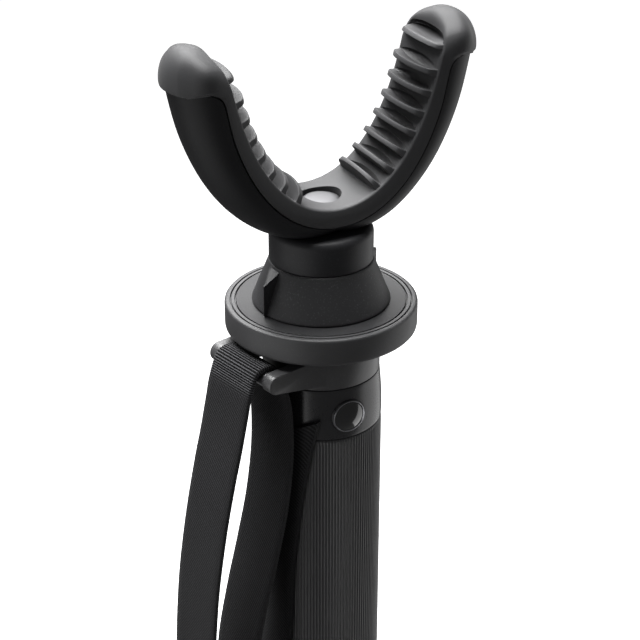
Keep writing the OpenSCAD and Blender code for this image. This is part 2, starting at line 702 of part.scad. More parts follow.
lay = max(grip_r, collar_r) + clear + strap_t / 2;
wrap = bar_d / 2 + clear + strap_t / 2;
bar_out = bar_x - lay;
bar_drop = disc_z - bar_z;
wrap_side = 0.8 * wrap;
wrap_up = 0.7 * wrap;
tail_route = [[0, 37, 21, 1], [0, 52, 10.5, 1], [0, 70, 2.8, 1], [0, 90, -3.2, 1], [0, 110, -5.8, 1],
    [2.5, 132, -5, 0.5], [7.5, 152, -1.5, 0], [12.5, 171, 0, 0]];
loop_route = [[18.5, 187, 0, 0], [25.5, 193, 0, 0], [31, 186, 0, 0], [33, 168, 0, 0], [33, 142, 0, 0],
    [32.2, 112, 0, 0], [30, 86, 0, 0], [26.3, 64, 0, 0], [21.8, 46, 0, 0], [17.4, 31, 0, 0]];
bar_route = [[bar_out + wrap + 0.6, bar_drop + 4.5, 0, 0], [bar_out + wrap_side, bar_drop - wrap_up, 0, 0],
    [bar_out, bar_drop - wrap - 0.1, 0, 0], [bar_out - wrap_side, bar_drop - wrap_up, 0, 0],
    [4.4, bar_drop + 2.5, 0, 0], [2.4, bar_drop + 12, 0, 0]];
end_route = [[2.2, 44, 0, 0], [4.4, 62, 0, 0], [7.8, 80, 0, 0], [11.6, 98, 0, 0], [15, 117, 0, 0],
    [16.4, 136, 0, 0], [15.6, 155, 0, 0], [16.2, 170, 0, 0], [20.2, 182, 0, 0]];
strap_route = concat(tail_route, loop_route, bar_route, end_route);

function spline(a, b, c, e, t) = 0.5 * (2 * b + (c - a) * t + (2 * a - 5 * b + 4 * c - e) * t * t
    + (3 * b - a - 3 * c + e) * t * t * t);
strap_sub = 3;
strap_line = let (r = strap_route, n = len(r) - 1) concat([for (i = [0:n - 1], k = [0:strap_sub - 1])
    spline(r[max(0, i - 1)], r[i], r[i + 1], r[min(n, i + 2)], k / strap_sub)], [r[n]]);

slant_run = 7;
strap_marks = [-1, -0.5, 0, 0.5, 1];
function strap_ring_at(i) = let (n = len(strap_line) - 1, p = strap_line[i],
    v = strap_line[max(0, i - 1)] - strap_line[min(n, i + 1)], length = norm([v[0], v[1]]),
    normal = [v[1], v[0]] / length, cut = strap_slant * max(0, 1 - i / slant_run))
    [for (side = [-1, 1]) for (m = side * strap_marks) let (w = m * strap_w / 2,
        r = lay + p[0] - side * strap_t / 2 * normal[0],
        h = disc_z - p[1] - side * strap_t / 2 * normal[1] + w * cut, bend = w / r * 180 / PI,
        flat = [r, w], round = r * [cos(bend), sin(bend)], q = flat + p[3] * (round - flat),
        turn = 180 + ring_turn + p[2])
        [q.x * cos(turn) - q.y * sin(turn), q.x * sin(turn) + q.y * cos(turn), h]];

module wrist_strap() {
    color([0.16, 0.16, 0.17]) sweep([for (i = [0:len(strap_line) - 1]) strap_ring_at(i)]);
}

foot();
foot_plug();
tube(3);  // tube_4
slide_ring(3);  // slide_ring_4
lock(2);  // lock_3
lever(2);  // lever_3
clamp_bolt(2);  // clamp_bolt_3
clamp_nut(2);  // clamp_nut_3
guide_bush(2);  // guide_bush_3
tube(2);  // tube_3
slide_ring(2);  // slide_ring_3
lock(1);  // lock_2
lever(1);  // lever_2
clamp_bolt(1);  // clamp_bolt_2
clamp_nut(1);  // clamp_nut_2
guide_bush(1);  // guide_bush_2
tube(1);  // tube_2
slide_ring(1);  // slide_ring_2
lock(0);  // lock_1
lever(0);  // lever_1
clamp_bolt(0);  // clamp_bolt_1
clamp_nut(0);  // clamp_nut_1
guide_bush(0);  // guide_bush_1
tube(0);  // upper_tube
grip();
collar();
badge();
strap_ring();
strap_bar();
wrist_strap();
top_plug();
stud();
head_disc();
disc_pad();
lock_knob();
rest_hub();
rest_shell();
rest_liner();
rest_screw();
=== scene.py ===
"""Dress the camera monopod: finishes for its solids, and modelled rubber, webbing, grip and trim."""

import json
import logging
import math
from bisect import bisect_right
from dataclasses import dataclass, field
from enum import Enum
from typing import Optional, Sequence, Union

import bpy
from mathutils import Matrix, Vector


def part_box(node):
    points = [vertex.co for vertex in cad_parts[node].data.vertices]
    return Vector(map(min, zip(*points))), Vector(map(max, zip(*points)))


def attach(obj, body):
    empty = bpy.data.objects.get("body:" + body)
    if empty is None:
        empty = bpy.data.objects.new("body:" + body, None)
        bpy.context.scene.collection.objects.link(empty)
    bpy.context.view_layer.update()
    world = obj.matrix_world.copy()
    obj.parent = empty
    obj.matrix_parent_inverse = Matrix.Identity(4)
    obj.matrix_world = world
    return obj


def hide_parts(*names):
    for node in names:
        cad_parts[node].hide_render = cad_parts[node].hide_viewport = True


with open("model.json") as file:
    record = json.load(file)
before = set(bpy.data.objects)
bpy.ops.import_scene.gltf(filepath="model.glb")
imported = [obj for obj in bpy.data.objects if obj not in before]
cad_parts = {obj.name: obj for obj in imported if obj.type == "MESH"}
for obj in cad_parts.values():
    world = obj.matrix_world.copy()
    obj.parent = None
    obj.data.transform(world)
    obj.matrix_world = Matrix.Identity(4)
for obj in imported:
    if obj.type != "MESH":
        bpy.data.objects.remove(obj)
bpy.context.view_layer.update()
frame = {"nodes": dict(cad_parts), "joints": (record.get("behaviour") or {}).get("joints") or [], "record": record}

MM = 0.001
Colour = tuple[float, float, float]
Pair = tuple[float, float]
Row = tuple[float, ...]
Ring = list[Vector]
log = logging.getLogger("monopod")


class Axis(Enum):
    """Axis of a turned piece: the direction of its radius at the start, and of its length."""

    UP = (Vector((1, 0, 0)), Vector((0, 0, 1)))
    FRONT = (Vector((1, 0, 0)), Vector((0, -1, 0)))


class Bench:
    """Modelling moves, each made with Blender's own operators on one mesh at a time."""

    MERGE = 1e-6
    SMOOTH_UP_TO = math.radians(38)
    FLAT_UP_TO = math.radians(0.3)
    ROUNDING_STEPS = 3

    @staticmethod
    def clear() -> None:
        """Leave edit mode and deselect everything."""
        if bpy.context.object is not None and bpy.context.object.mode != "OBJECT":
            bpy.ops.object.mode_set(mode="OBJECT")
        bpy.ops.object.select_all(action="DESELECT")

    @staticmethod
    def pick(piece: bpy.types.Object) -> None:
        """Make one piece the only selected and active one.

        Args:
            piece: The piece.
        """
        Bench.clear()
        piece.select_set(True)
        bpy.context.view_layer.objects.active = piece

    @staticmethod
    def edit_all(piece: bpy.types.Object) -> None:
        """Open a piece in edit mode with its whole mesh selected.

        Args:
            piece: The piece.
        """
        Bench.pick(piece)
        bpy.ops.object.mode_set(mode="EDIT")
        bpy.ops.mesh.select_all(action="SELECT")

    @staticmethod
    def close(piece: bpy.types.Object) -> None:
        """Merge doubled points, fill open ends, turn all faces outwards and shade the piece smooth.

        Args:
            piece: The piece.
        """
        Bench.edit_all(piece)
        bpy.ops.mesh.remove_doubles(threshold=Bench.MERGE)
        bpy.ops.mesh.select_all(action="SELECT")
        bpy.ops.mesh.fill_holes(sides=0)
        bpy.ops.mesh.select_all(action="SELECT")
        bpy.ops.mesh.normals_make_consistent(inside=False)
        bpy.ops.object.mode_set(mode="OBJECT")
        bpy.ops.object.shade_smooth_by_angle(angle=Bench.SMOOTH_UP_TO)

    @staticmethod
    def skin(name: str, rings: Sequence[Ring], loop: bool = False,
             marks: Sequence[float] = ()) -> bpy.types.Object:
        """Stretch a grid over a row of rings.

        Args:
            name: Name of the new piece.
            rings: Points of each ring in metres, as many in every ring.
            loop: Whether the last ring joins the first, instead of both ends being filled.
            marks: Place of each ring on the map, where the rings aren't evenly spaced.

        Returns:
            The closed piece, with a UV map that runs round the rings and along them.
        """
        columns = len(rings[0])
        rows = len(rings) - 1 + int(loop)
        Bench.clear()
        bpy.ops.mesh.primitive_grid_add(x_subdivisions=columns, y_subdivisions=rows, size=1)
        piece = bpy.context.object
        piece.name = name
        for vertex in piece.data.vertices:
            column = round((vertex.co.x + 0.5) * columns) % columns
            row = round((vertex.co.y + 0.5) * rows) % len(rings)
            vertex.co = rings[row][column]
        if marks:
            for spot in piece.data.uv_layers.active.data:
                spot.uv.y = marks[round(spot.uv.y * rows)]
        Bench.close(piece)
        return piece

    @staticmethod
    def turned(name: str, profile: Sequence[Pair], steps: int, axis: Axis = Axis.UP,
               centre: Vector = Vector()) -> bpy.types.Object:
        """Draw a profile point by point and spin it.

        Args:
            name: Name of the new piece.
            profile: Radius and length of each point, in millimetres.
            steps: Number of steps round the axis.
            axis: Axis that the profile turns on.
            centre: Point of the axis where lengths start, in metres.

        Returns:
            The closed piece.
        """
        across, along = axis.value
        points = [centre + MM * (radius * across + length * along) for radius, length in profile]
        Bench.clear()
        bpy.ops.mesh.primitive_plane_add(size=MM)
        piece = bpy.context.object
        piece.name = name
        bpy.ops.object.mode_set(mode="EDIT")
        bpy.ops.mesh.select_all(action="SELECT")
        bpy.ops.mesh.merge(type="CENTER")
        bpy.ops.transform.translate(value=points[0])
        for here, there in zip(points, points[1:]):
            bpy.ops.mesh.extrude_region_move(TRANSFORM_OT_translate={"value": there - here})
        bpy.ops.mesh.select_all(action="SELECT")
        bpy.ops.mesh.spin(steps=steps, angle=2 * math.pi, center=centre, axis=along)
        Bench.close(piece)
        return piece

    @staticmethod
    def softened(node: str, width: float) -> bpy.types.Object:
        """Copy a solid and round its edges.

        Args:
            node: Name of the solid.
            width: Width of the rounding in millimetres.

        Returns:
            The new piece, named after the solid.
        """
        piece = bpy.data.objects.new(node + "_finished", frame["nodes"][node].data.copy())
        bpy.context.scene.collection.objects.link(piece)
        Bench.edit_all(piece)
        bpy.ops.mesh.customdata_custom_splitnormals_clear()
        bpy.ops.mesh.remove_doubles(threshold=Bench.MERGE)
        bpy.ops.mesh.select_all(action="SELECT")
        bpy.ops.mesh.dissolve_limited(angle_limit=Bench.FLAT_UP_TO)
        bpy.ops.object.mode_set(mode="OBJECT")
        rounding = piece.modifiers.new("rounding", "BEVEL")
        rounding.width = width * MM
        rounding.segments = Bench.ROUNDING_STEPS
        rounding.limit_method = "ANGLE"
        rounding.angle_limit = Bench.SMOOTH_UP_TO
        bpy.ops.object.modifier_apply(modifier="rounding")
        bpy.ops.object.shade_smooth_by_angle(angle=Bench.SMOOTH_UP_TO)
        return piece


class Value:
    """A shader socket that takes part in Python expressions."""

    def __init__(self, tree: bpy.types.NodeTree, socket: bpy.types.NodeSocket) -> None:
        """Wrap a socket of a node tree."""
        self.tree = tree
        self.socket = socket

    def math(self, operation: str, first: "Number", second: "Number" = 0.0) -> "Value":
        """Add a Math node.

        Args:
            operation: The Math node's operation.
            first: First number or socket.
            second: Second number or socket.

        Returns:
            The node's result.
        """
        node = self.tree.nodes.new("ShaderNodeMath")
        node.operation = operation
        for socket, item in zip(node.inputs, (first, second)):
            if isinstance(item, Value):
                self.tree.links.new(item.socket, socket)
            else:
                socket.default_value = item
        return Value(self.tree, node.outputs[0])

    def __add__(self, other: "Number") -> "Value":
        """Sum."""
        return self.math("ADD", self, other)

    def __radd__(self, other: "Number") -> "Value":
        """Sum with a number in front."""
        return self.math("ADD", other, self)

    def __sub__(self, other: "Number") -> "Value":
        """Difference."""
        return self.math("SUBTRACT", self, other)

    def __rsub__(self, other: "Number") -> "Value":
        """Difference from a number in front."""
        return self.math("SUBTRACT", other, self)

    def __mul__(self, other: "Number") -> "Value":
        """Product."""
        return self.math("MULTIPLY", self, other)

    def __rmul__(self, other: "Number") -> "Value":
        """Product with a number in front."""
        return self.math("MULTIPLY", other, self)

    def sine(self) -> "Value":
        """Sine of the value in radians."""
        return self.math("SINE", self)


Number = Union[float, Value]


class Graph:
    """The node tree of one finish, round a Principled shader."""

    def __init__(self, name: str) -> None:
        """Start a material.

        Args:
            name: The material's name.
        """
        self.material = bpy.data.materials.new(name)
        self.material.use_nodes = True
        self.tree = self.material.node_tree
        self.shader = self.tree.nodes["Principled BSDF"]

    def node(self, kind: str, settings: dict, inputs: dict, output: Union[int, str] = 0) -> Value:
        """Add a node.

        Args:
            kind: Node type without its ShaderNode prefix.
            settings: Properties of the node, or the stops of a ramp.
            inputs: Values or links of its sockets.
            output: The socket that is wanted.

        Returns:
            That output.
        """
        node = self.tree.nodes.new("ShaderNode" + kind)
        for key, setting in settings.items():
            if key == "stops":
                self._stops(node.color_ramp, setting)
            else:
                setattr(node, key, setting)
        for key, item in inputs.items():
            if isinstance(item, Value):
                self.tree.links.new(item.socket, node.inputs[key])
            else:
                node.inputs[key].default_value = item
        return Value(self.tree, node.outputs[output])

    @staticmethod
    def _stops(ramp: bpy.types.ColorRamp, stops: Sequence[Pair]) -> None:
        """Set the grey stops of a ramp.

        Args:
            ramp: The ramp.
            stops: Place and brightness of each stop.
        """
        while len(ramp.elements) < len(stops):
            ramp.elements.new(1.0)
        for element, (place, grey) in zip(ramp.elements, stops):
            element.position = place
            element.color = (grey, grey, grey, 1)

    def place(self) -> Value:
        """Object coordinates, in metres."""
        return self.node("TexCoord", {}, {}, "Object")

    def noise(self, size: float, detail: float = 3.0, stretch: Colour = (1, 1, 1)) -> Value:
        """Cloudy noise between 0 and 1.

        Args:
            size: Size of a cloud in millimetres.
            detail: Number of finer layers.
            stretch: Scale along each axis.

        Returns:
            The noise's value.
        """
        where = self.node("Mapping", {}, {"Vector": self.place(), "Scale": stretch})
        return self.node("TexNoise", {}, {"Vector": where, "Scale": 1 / (size * MM), "Detail": detail})

    def ramp(self, value: Value, *stops: Pair) -> Value:
        """Reshape a value by grey stops."""
        return self.node("ValToRGB", {"stops": stops}, {"Fac": value})

    def mix(self, share: Number, first: Colour, second: Colour) -> Value:
        """Mix two colours by a share."""
        return self.node("Mix", {"data_type": "RGBA"}, {0: share, 6: (*first, 1), 7: (*second, 1)}, 2)

    def tint(self, share: Number, colour: Colour, dark: float, light: float) -> None:
        """Feed the base colour with a mix of two shades of one colour.

        Args:
            share: Share of the lighter shade.
            colour: The colour.
            dark: Factor of the darker shade.
            light: Factor of the lighter shade.
        """
        self.feed("Base Color", self.mix(share, shade(colour, dark), shade(colour, light)))

    def bump(self, height: Value, depth: float) -> None:
        """Feed a height into the shader's normal, with its depth in millimetres."""
        normal = self.node("Bump", {}, {"Height": height, "Distance": depth * MM, "Strength": 1.0})
        self.feed("Normal", normal)

    def feed(self, socket: str, item: Union[Number, Colour]) -> None:
        """Link or set one of the shader's sockets.

        Args:
            socket: The socket's name.
            item: What it gets.
        """
        if isinstance(item, Value):
            self.tree.links.new(item.socket, self.shader.inputs[socket])
        else:
            self.shader.inputs[socket].default_value = item


def shade(colour: Colour, factor: float) -> Colour:
    """A colour made lighter or darker by a factor."""
    return tuple(factor * part for part in colour)


@dataclass(frozen=True)
class Moulding:
    """Moulded plastic or paint: spark-eroded grain, a drift of shade and soft handling marks."""

    name: str
    colour: Colour
    rough: float
    grain: float = 0.35
    depth: float = 0.012
    specks: float = 0.25
    drift: float = 0.2
    gloss: float = 0.5
    coat: float = 0.0
    coat_rough: float = 0.25
    dark: float = 0.85
    light: float = 2.6

    # Sizes of a drift and of a speck in grains, and where a speck starts and is full
    DRIFT_SIZE = 40
    SPECK_SIZE = 1.4
    SPECK_STOPS = ((0.6, 0.0), (0.72, 1.0))
    # Roughness taken off, and given back by the drift and by the grain
    ROUGH_LESS = 0.07
    ROUGH_DRIFT = 0.1
    ROUGH_GRAIN = 0.08

    def material(self) -> bpy.types.Material:
        """Build the finish.

        Returns:
            Its material.
        """
        graph = Graph(self.name)
        fine = graph.noise(self.grain, 4.0)
        broad = graph.noise(self.DRIFT_SIZE * self.grain, 3.0)
        speck = graph.ramp(graph.noise(self.SPECK_SIZE * self.grain, 1.0), *self.SPECK_STOPS)
        graph.tint(self.drift * broad + self.specks * speck, self.colour, self.dark, self.light)
        rough = (self.rough - self.ROUGH_LESS) + self.ROUGH_DRIFT * broad + self.ROUGH_GRAIN * fine
        graph.feed("Roughness", rough)
        graph.feed("Specular IOR Level", self.gloss)
        graph.feed("Coat Weight", self.coat)
        graph.feed("Coat Roughness", self.coat_rough)
        graph.bump(fine, self.depth)
        return graph.material


@dataclass(frozen=True)
class Rubber:
    """Moulded rubber: matt, with a fine dull grain, a dusty bloom and small scuffs."""

    name: str
    colour: Colour
    rough: float = 0.62
    grain: float = 0.3
    depth: float = 0.015
    bloom: float = 0.3
    gloss: float = 0.4
    sheen: float = 0.1
    sheen_rough: float = 0.45
    dark: float = 0.8
    light: float = 1.8

    # Sizes of a dusty patch and of a scuff, the scuff's stretch, and where it starts and is full
    DUST_SIZE = 9.0
    SCUFF_SIZE = 1.1
    SCUFF_STRETCH = (1, 1, 0.35)
    SCUFF_STOPS = ((0.62, 0.0), (0.74, 1.0))
    # Share of the scuffs in the shade, of dust and grain in the roughness, and of dust in the height
    SCUFF_SHADE = 0.12
    ROUGH_DUST = 0.12
    ROUGH_GRAIN = 0.06
    DUST_HEIGHT = 0.4

    def material(self) -> bpy.types.Material:
        """Build the finish.

        Returns:
            Its material.
        """
        graph = Graph(self.name)
        fine = graph.noise(self.grain, 4.0)
        dust = graph.noise(self.DUST_SIZE, 4.0)
        scuff = graph.ramp(graph.noise(self.SCUFF_SIZE, 2.0, self.SCUFF_STRETCH), *self.SCUFF_STOPS)
        graph.tint(self.bloom * dust + self.SCUFF_SHADE * scuff, self.colour, self.dark, self.light)
        graph.feed("Roughness", self.rough + self.ROUGH_DUST * (dust - 0.5) + self.ROUGH_GRAIN * fine)
        graph.feed("Specular IOR Level", self.gloss)
        graph.feed("Sheen Weight", self.sheen)
        graph.feed("Sheen Roughness", self.sheen_rough)
        graph.bump(fine + self.DUST_HEIGHT * dust, self.depth)
        return graph.material


@dataclass(frozen=True)
class Metal:
    """Worked metal: fine tool lines along one axis and a little wear."""

    name: str
    colour: Colour
    rough: float
    lines: Colour = (1, 1, 1)
    depth: float = 0.004
    dark: float = 0.8
    light: float = 1.15

    # Sizes of the tool lines and of worn patches, and their shares in the shade
    LINE_SIZE = 0.4
    WEAR_SIZE = 6.0
    LINE_SHADE = 0.3
    WEAR_SHADE = 0.5
    # Roughness taken off, and given back by the wear and by the lines
    ROUGH_LESS = 0.05
    ROUGH_WEAR = 0.1
    ROUGH_LINES = 0.06

    def material(self) -> bpy.types.Material:
        """Build the finish.

        Returns:
            Its material.
        """
        graph = Graph(self.name)
        tool = graph.noise(self.LINE_SIZE, 3.0, self.lines)
        wear = graph.noise(self.WEAR_SIZE, 4.0)
        graph.tint(self.WEAR_SHADE * wear + self.LINE_SHADE * tool, self.colour, self.dark, self.light)
        graph.feed("Metallic", 1.0)
        rough = (self.rough - self.ROUGH_LESS) + self.ROUGH_WEAR * wear + self.ROUGH_LINES * tool
        graph.feed("Roughness", rough)
        graph.bump(tool, self.depth)
        return graph.material


@dataclass(frozen=True)
class Webbing:
    """Woven nylon tape on the strap's own map: a fine twill, cross picks and a band of cords with painted
    highlights and shade.
    """

    name: str
    colour: Colour
    width: float
    length: float
    band: Pair
    cord_pitch: float
    pick: float = 0.6
    twill: float = 1.1
    band_fade: float = 0.6
    rough: float = 0.66
    gloss: float = 0.15
    sheen: float = 0.05
    sheen_rough: float = 0.4
    depth: float = 0.12
    dark: float = 0.3
    light: float = 3.8
    contrast: float = 0.4

    # Weights of the slanting twill, the cross picks and the long ends in the weave
    WEAVE = (0.7, 0.2, 0.1)
    # Sizes of the fuzz and of dull patches
    FUZZ_SIZE = 0.5
    DULL_SIZE = 14.0
    # Shade of the plain weave: weights of weave, fuzz and dull patches, and what is taken off
    PLAIN = (1.2, 0.25, 0.2)
    PLAIN_LESS = 0.35
    # Painted light on the cords: weight of the painted highlight on their crests, painted shade taken off in their
    # valleys, and their shift as a share of their pitch
    CORDS = 2.9
    CORDS_LESS = 0.3
    CORDS_SHIFT = 0.25
    # Shares of the fuzz in the roughness and in the height
    ROUGH_FUZZ = 0.2
    FUZZ_HEIGHT = 0.3

    @staticmethod
    def stripes(place: Value, pitch: float, shift: float = 0.0) -> Value:
        """Soft stripes between 0 and 1, moved by a share of their pitch."""
        return 0.5 + 0.5 * (place * (2 * math.pi / pitch) + 2 * math.pi * shift).sine()

    def material(self) -> bpy.types.Material:
        """Build the finish.

        Returns:
            Its material.
        """
        graph = Graph(self.name)
        where = graph.node("UVMap", {}, {})
        across = graph.node("SeparateXYZ", {}, {"Vector": where}, "X") * (2 * self.width)
        reach = graph.node("SeparateXYZ", {}, {"Vector": where}, "Y")
        along = reach * self.length
        slanting, crossing, lengthwise = self.WEAVE
        weave = (slanting * self.stripes(across + along, self.twill)
                 + crossing * self.stripes(along, self.pick)
                 + lengthwise * self.stripes(across, self.pick))
        fuzz = graph.noise(self.FUZZ_SIZE, 3.0)
        dull = graph.noise(self.DULL_SIZE, 3.0)
        by_weave, by_fuzz, by_dull = self.PLAIN
        plain = by_weave * weave - self.PLAIN_LESS + by_fuzz * fuzz + by_dull * (dull - 0.5)
        # Painted highlight on each cord's crest and painted shade in the valleys between the cords
        cord = self.stripes(along, self.cord_pitch, self.CORDS_SHIFT)
        cords = self.CORDS * (cord * cord) - self.CORDS_LESS
        start, end = (place / self.length for place in self.band)
        fade = self.band_fade / self.length
        band = graph.ramp(reach, (start - fade, 0.0), (start + fade, 1.0),
                          (end - fade, 1.0), (end + fade, 0.0))
        share = self.contrast * (plain + band * (cords - plain))
        graph.tint(share, self.colour, self.dark, self.light)
        graph.feed("Roughness", self.rough + self.ROUGH_FUZZ * (fuzz - 0.5))
        graph.feed("Specular IOR Level", self.gloss)
        graph.feed("Sheen Weight", self.sheen)
        graph.feed("Sheen Roughness", self.sheen_rough)
        graph.bump(weave + self.FUZZ_HEIGHT * fuzz, self.depth)
        return graph.material


@dataclass(frozen=True)
class Lacquer:
    """Glossy resin: deep colour under a clear coat with faint ripples."""

    name: str
    colour: Colour
    rough: float = 0.12
    coat_rough: float = 0.04
    depth: float = 0.01
    dark: float = 0.7
    light: float = 1.3

    # Size of a ripple, and its share in the roughness
    RIPPLE_SIZE = 3.0
    ROUGH_RIPPLE = 0.08

    def material(self) -> bpy.types.Material:
        """Build the finish.

        Returns:
            Its material.
        """
        graph = Graph(self.name)
        ripple = graph.noise(self.RIPPLE_SIZE, 2.0)
        graph.tint(ripple, self.colour, self.dark, self.light)
        graph.feed("Roughness", self.rough + self.ROUGH_RIPPLE * ripple)
        graph.feed("Coat Weight", 1.0)
        graph.feed("Coat Roughness", self.coat_rough)
        graph.bump(ripple, self.depth)
        return graph.material


class Finishes:
    """The finishes of the monopod, by the record's material slots."""

    def __init__(self, webbing: Webbing) -> None:
        """Build every finish once.

        Args:
            webbing: The wrist strap's own finish.
        """
        kinds = [
            Moulding("shell", (0.012, 0.012, 0.013), 0.48, grain=0.3, specks=0.15, gloss=0.2),
            Rubber("liner_rubber", (0.033, 0.033, 0.035), 0.56),
            Moulding("hub", (0.02, 0.02, 0.022), 0.46, specks=0.2, gloss=0.25),
            Moulding("knob", (0.034, 0.034, 0.036), 0.5, grain=0.4, depth=0.03, specks=0.4, gloss=0.35),
            Moulding("disc", (0.045, 0.045, 0.047), 0.46, specks=0.1, depth=0.006, gloss=0.4),
            Moulding("pad", (0.02, 0.02, 0.0215), 0.55, specks=0.2, gloss=0.35),
            Moulding("strap_ring", (0.055, 0.055, 0.057), 0.34, specks=0.15),
            Moulding("collar", (0.024, 0.024, 0.026), 0.26, specks=0.1),
            Rubber("grip_rubber", (0.042, 0.042, 0.044), 0.36, gloss=0.65),
            Rubber("foot_rubber", (0.025, 0.025, 0.026), 0.7),
            Moulding("tube", (0.012, 0.012, 0.013), 0.33, grain=0.5, specks=0.05, coat=0.2),
            Moulding("lock", (0.016, 0.016, 0.017), 0.45),
            Moulding("lever", (0.022, 0.022, 0.023), 0.4, coat=0.1),
            Moulding("bush", (0.07, 0.07, 0.072), 0.5),
            Metal("steel", (0.6, 0.6, 0.62), 0.3, (1, 1, 8)),
            Metal("plug", (0.55, 0.55, 0.57), 0.35, (1, 1, 8)),
            Metal("screw", (0.12, 0.12, 0.124), 0.5),
            Metal("bright_rim", (0.4, 0.4, 0.42), 0.25),
            Lacquer("badge", (0.008, 0.008, 0.009)),
            webbing,
        ]
        self.made = {kind.name: kind.material() for kind in kinds}

    def fit(self, piece: bpy.types.Object, finish: str, body: str,
            stands_for: Sequence[str] = ()) -> None:
        """Dress a piece and tie it to the body that it moves with.

        Args:
            piece: The finished mesh.
            finish: Name of its finish.
            body: Body that it rides on.
            stands_for: Solids that the piece replaces.
        """
        piece.data.materials.clear()
        piece.data.materials.append(self.made[finish])
        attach(piece, body)
        if stands_for:
            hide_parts(*stands_for)
        log.info("%s: %d faces on %s", piece.name, len(piece.data.polygons), body)


def smooth(low: float, high: float, x: float) -> float:
    """Ease from 0 at low to 1 at high."""
    k = max(0.0, min(1.0, (x - low) / (high - low)))
    return k * k * (3 - 2 * k)


@dataclass
class ArmForm:
    """Curve and sections of the rest's arms, in millimetres.

    Sections run along s, the distance from the middle of the floor. In a section, y goes to the back
    and d is the depth from the liner's face to the back of the shell.
    """

    width: float = 66.4
    height: float = 41.3
    depth: float = 23.8
    floor_t: float = 9.2
    arm_t: float = 15.1
    arm_share: float = 0.85
    fullness: float = 3.9
    bulge: float = 0.9
    belly: float = 0.32
    back_power: float = 2.6
    back_power_drop: float = 0.6
    liner_t: float = 3.0
    clear: float = 0.3
    lip_floor: float = 5.7
    lip_arm: float = 3.9
    lip_rise: float = 8.0
    lip_power: float = 7.0
    lip_full: float = 0.86
    lip_wall: float = 1.8
    end_gap: float = 1.2
    seam_lift: float = 2.6
    seam_run: Pair = (14, 3)
    tip_turn: float = 2.0
    turn_share: float = 0.7
    steps: int = 200
    base_z: float = field(init=False)
    table: list[float] = field(init=False)
    length: float = field(init=False)
    shell_end: float = field(init=False)
    cap_start: float = field(init=False)
    arm_s: float = field(init=False)
    turn_s: float = field(init=False)

    # Control points of the arm's curve, as shares of half the width and of the height
    CURVE = ((0.0, 0.0), (0.51, 0.0), (0.85, 0.44), (1.0, 1.0))

    def __post_init__(self) -> None:
        """Measure the arm's curve."""
        self.base_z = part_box("rest_hub")[1].z / MM + self.floor_t
        points = [self.point(k / self.steps) for k in range(self.steps + 1)]
        self.table = [0.0]
        for here, there in zip(points, points[1:]):
            self.table.append(self.table[-1] + (there - here).length)
        self.length = self.table[-1]
        self.shell_end = self.length - self.end_gap
        self.cap_start = self.shell_end + self.clear
        self.arm_s = self.arm_share * self.length
        self.turn_s = self.turn_share * self.length

    def corners(self) -> list[Vector]:
        """Control points of the arm's curve, out and up from the middle of the floor."""
        return [Vector((x * (self.width / 2), z * self.height)) for x, z in self.CURVE]

    def point(self, t: float) -> Vector:
        """Point of the curve.

        Args:
            t: The curve's parameter.

        Returns:
            The point, out and up from the middle of the floor.
        """
        a, b, c, e = self.corners()
        u = 1 - t
        return a * u ** 3 + 3 * b * t * u * u + 3 * c * t * t * u + e * t ** 3

    def slope(self, t: float) -> float:
        """Slope of the curve.

        Args:
            t: The curve's parameter.

        Returns:
            The slope in degrees.
        """
        a, b, c, e = self.corners()
        u = 1 - t
        v = (b - a) * u * u + 2 * (c - b) * t * u + (e - c) * t * t
        return math.degrees(math.atan2(v.y, v.x))

    def parameter(self, s: float) -> float:
        """Parameter of the curve.

        Args:
            s: Distance along the curve.

        Returns:
            The parameter at that distance.
        """
        k = min(bisect_right(self.table, max(s, 0.0)) - 1, self.steps - 1)
        span = self.table[k + 1] - self.table[k]
        return min(1.0, (k + (s - self.table[k]) / span) / self.steps)

    def outwards(self, s: float) -> float:
        """Direction of a section outwards from the cradle, in degrees."""
        b = smooth(self.turn_s, self.length, s)
        return (1 - b) * (self.slope(self.parameter(s)) - 90) + b * self.tip_turn

    def thickness(self, s: float) -> float:
        """Thickness of the rest at s."""
        share = 1 - (1 - min(s / self.arm_s, 1)) ** self.fullness
        return self.floor_t + (self.arm_t - self.floor_t) * share

    def rise(self, s: float) -> float:
        """Share from 0 on the arm to 1 at the cap of the lip's rise."""
        return max(0.0, min(1.0, (s - self.shell_end + self.lip_rise) / self.lip_rise))

    def lip(self, s: float) -> float:
        """Width of the liner's lip on the front at s."""
        w = self.lip_floor + (self.lip_arm - self.lip_floor) * min(s / self.arm_s, 1)
        return w + (self.lip_full * self.thickness(s) - w) * self.rise(s) ** self.lip_power

    def half_depth(self, d: float, s: float) -> float:
        """Half of the depth from front to back: fullest at the belly and round behind it.

        Args:
            d: Depth in the section.
            s: Distance along the arm.

        Returns:
            That half.
        """
        t = self.thickness(s)
        m = self.belly * t
        if d <= m:
            return self.depth / 2 + self.bulge * math.sin(math.pi / 2 * max(d, 0) / m)
        p = self.back_power - self.back_power_drop * smooth(0, self.arm_s / 2, s)
        full = self.depth / 2 + self.bulge
        return full * max(0.0, 1 - min(1.0, (d - m) / (t - m)) ** p) ** (1 / p)

    def place(self, s: float, y: float, d: float) -> Vector:
        """Place a point of a section, in metres.

        Args:
            s: Distance along the arm, negative on the left arm.
            y: Distance to the back.
            d: Depth outwards, negative for the height of a fin.

        Returns:
            The point.
        """
        a = abs(s)
        base = self.point(self.parameter(a))
        turn = math.radians(self.slope(self.parameter(a)) - 90 if d < 0 else self.outwards(a))
        x = math.copysign(base.x + d * math.cos(turn), s)
        return MM * Vector((x, y, self.base_z + base.y + d * math.sin(turn) + self.seam(a, d)))

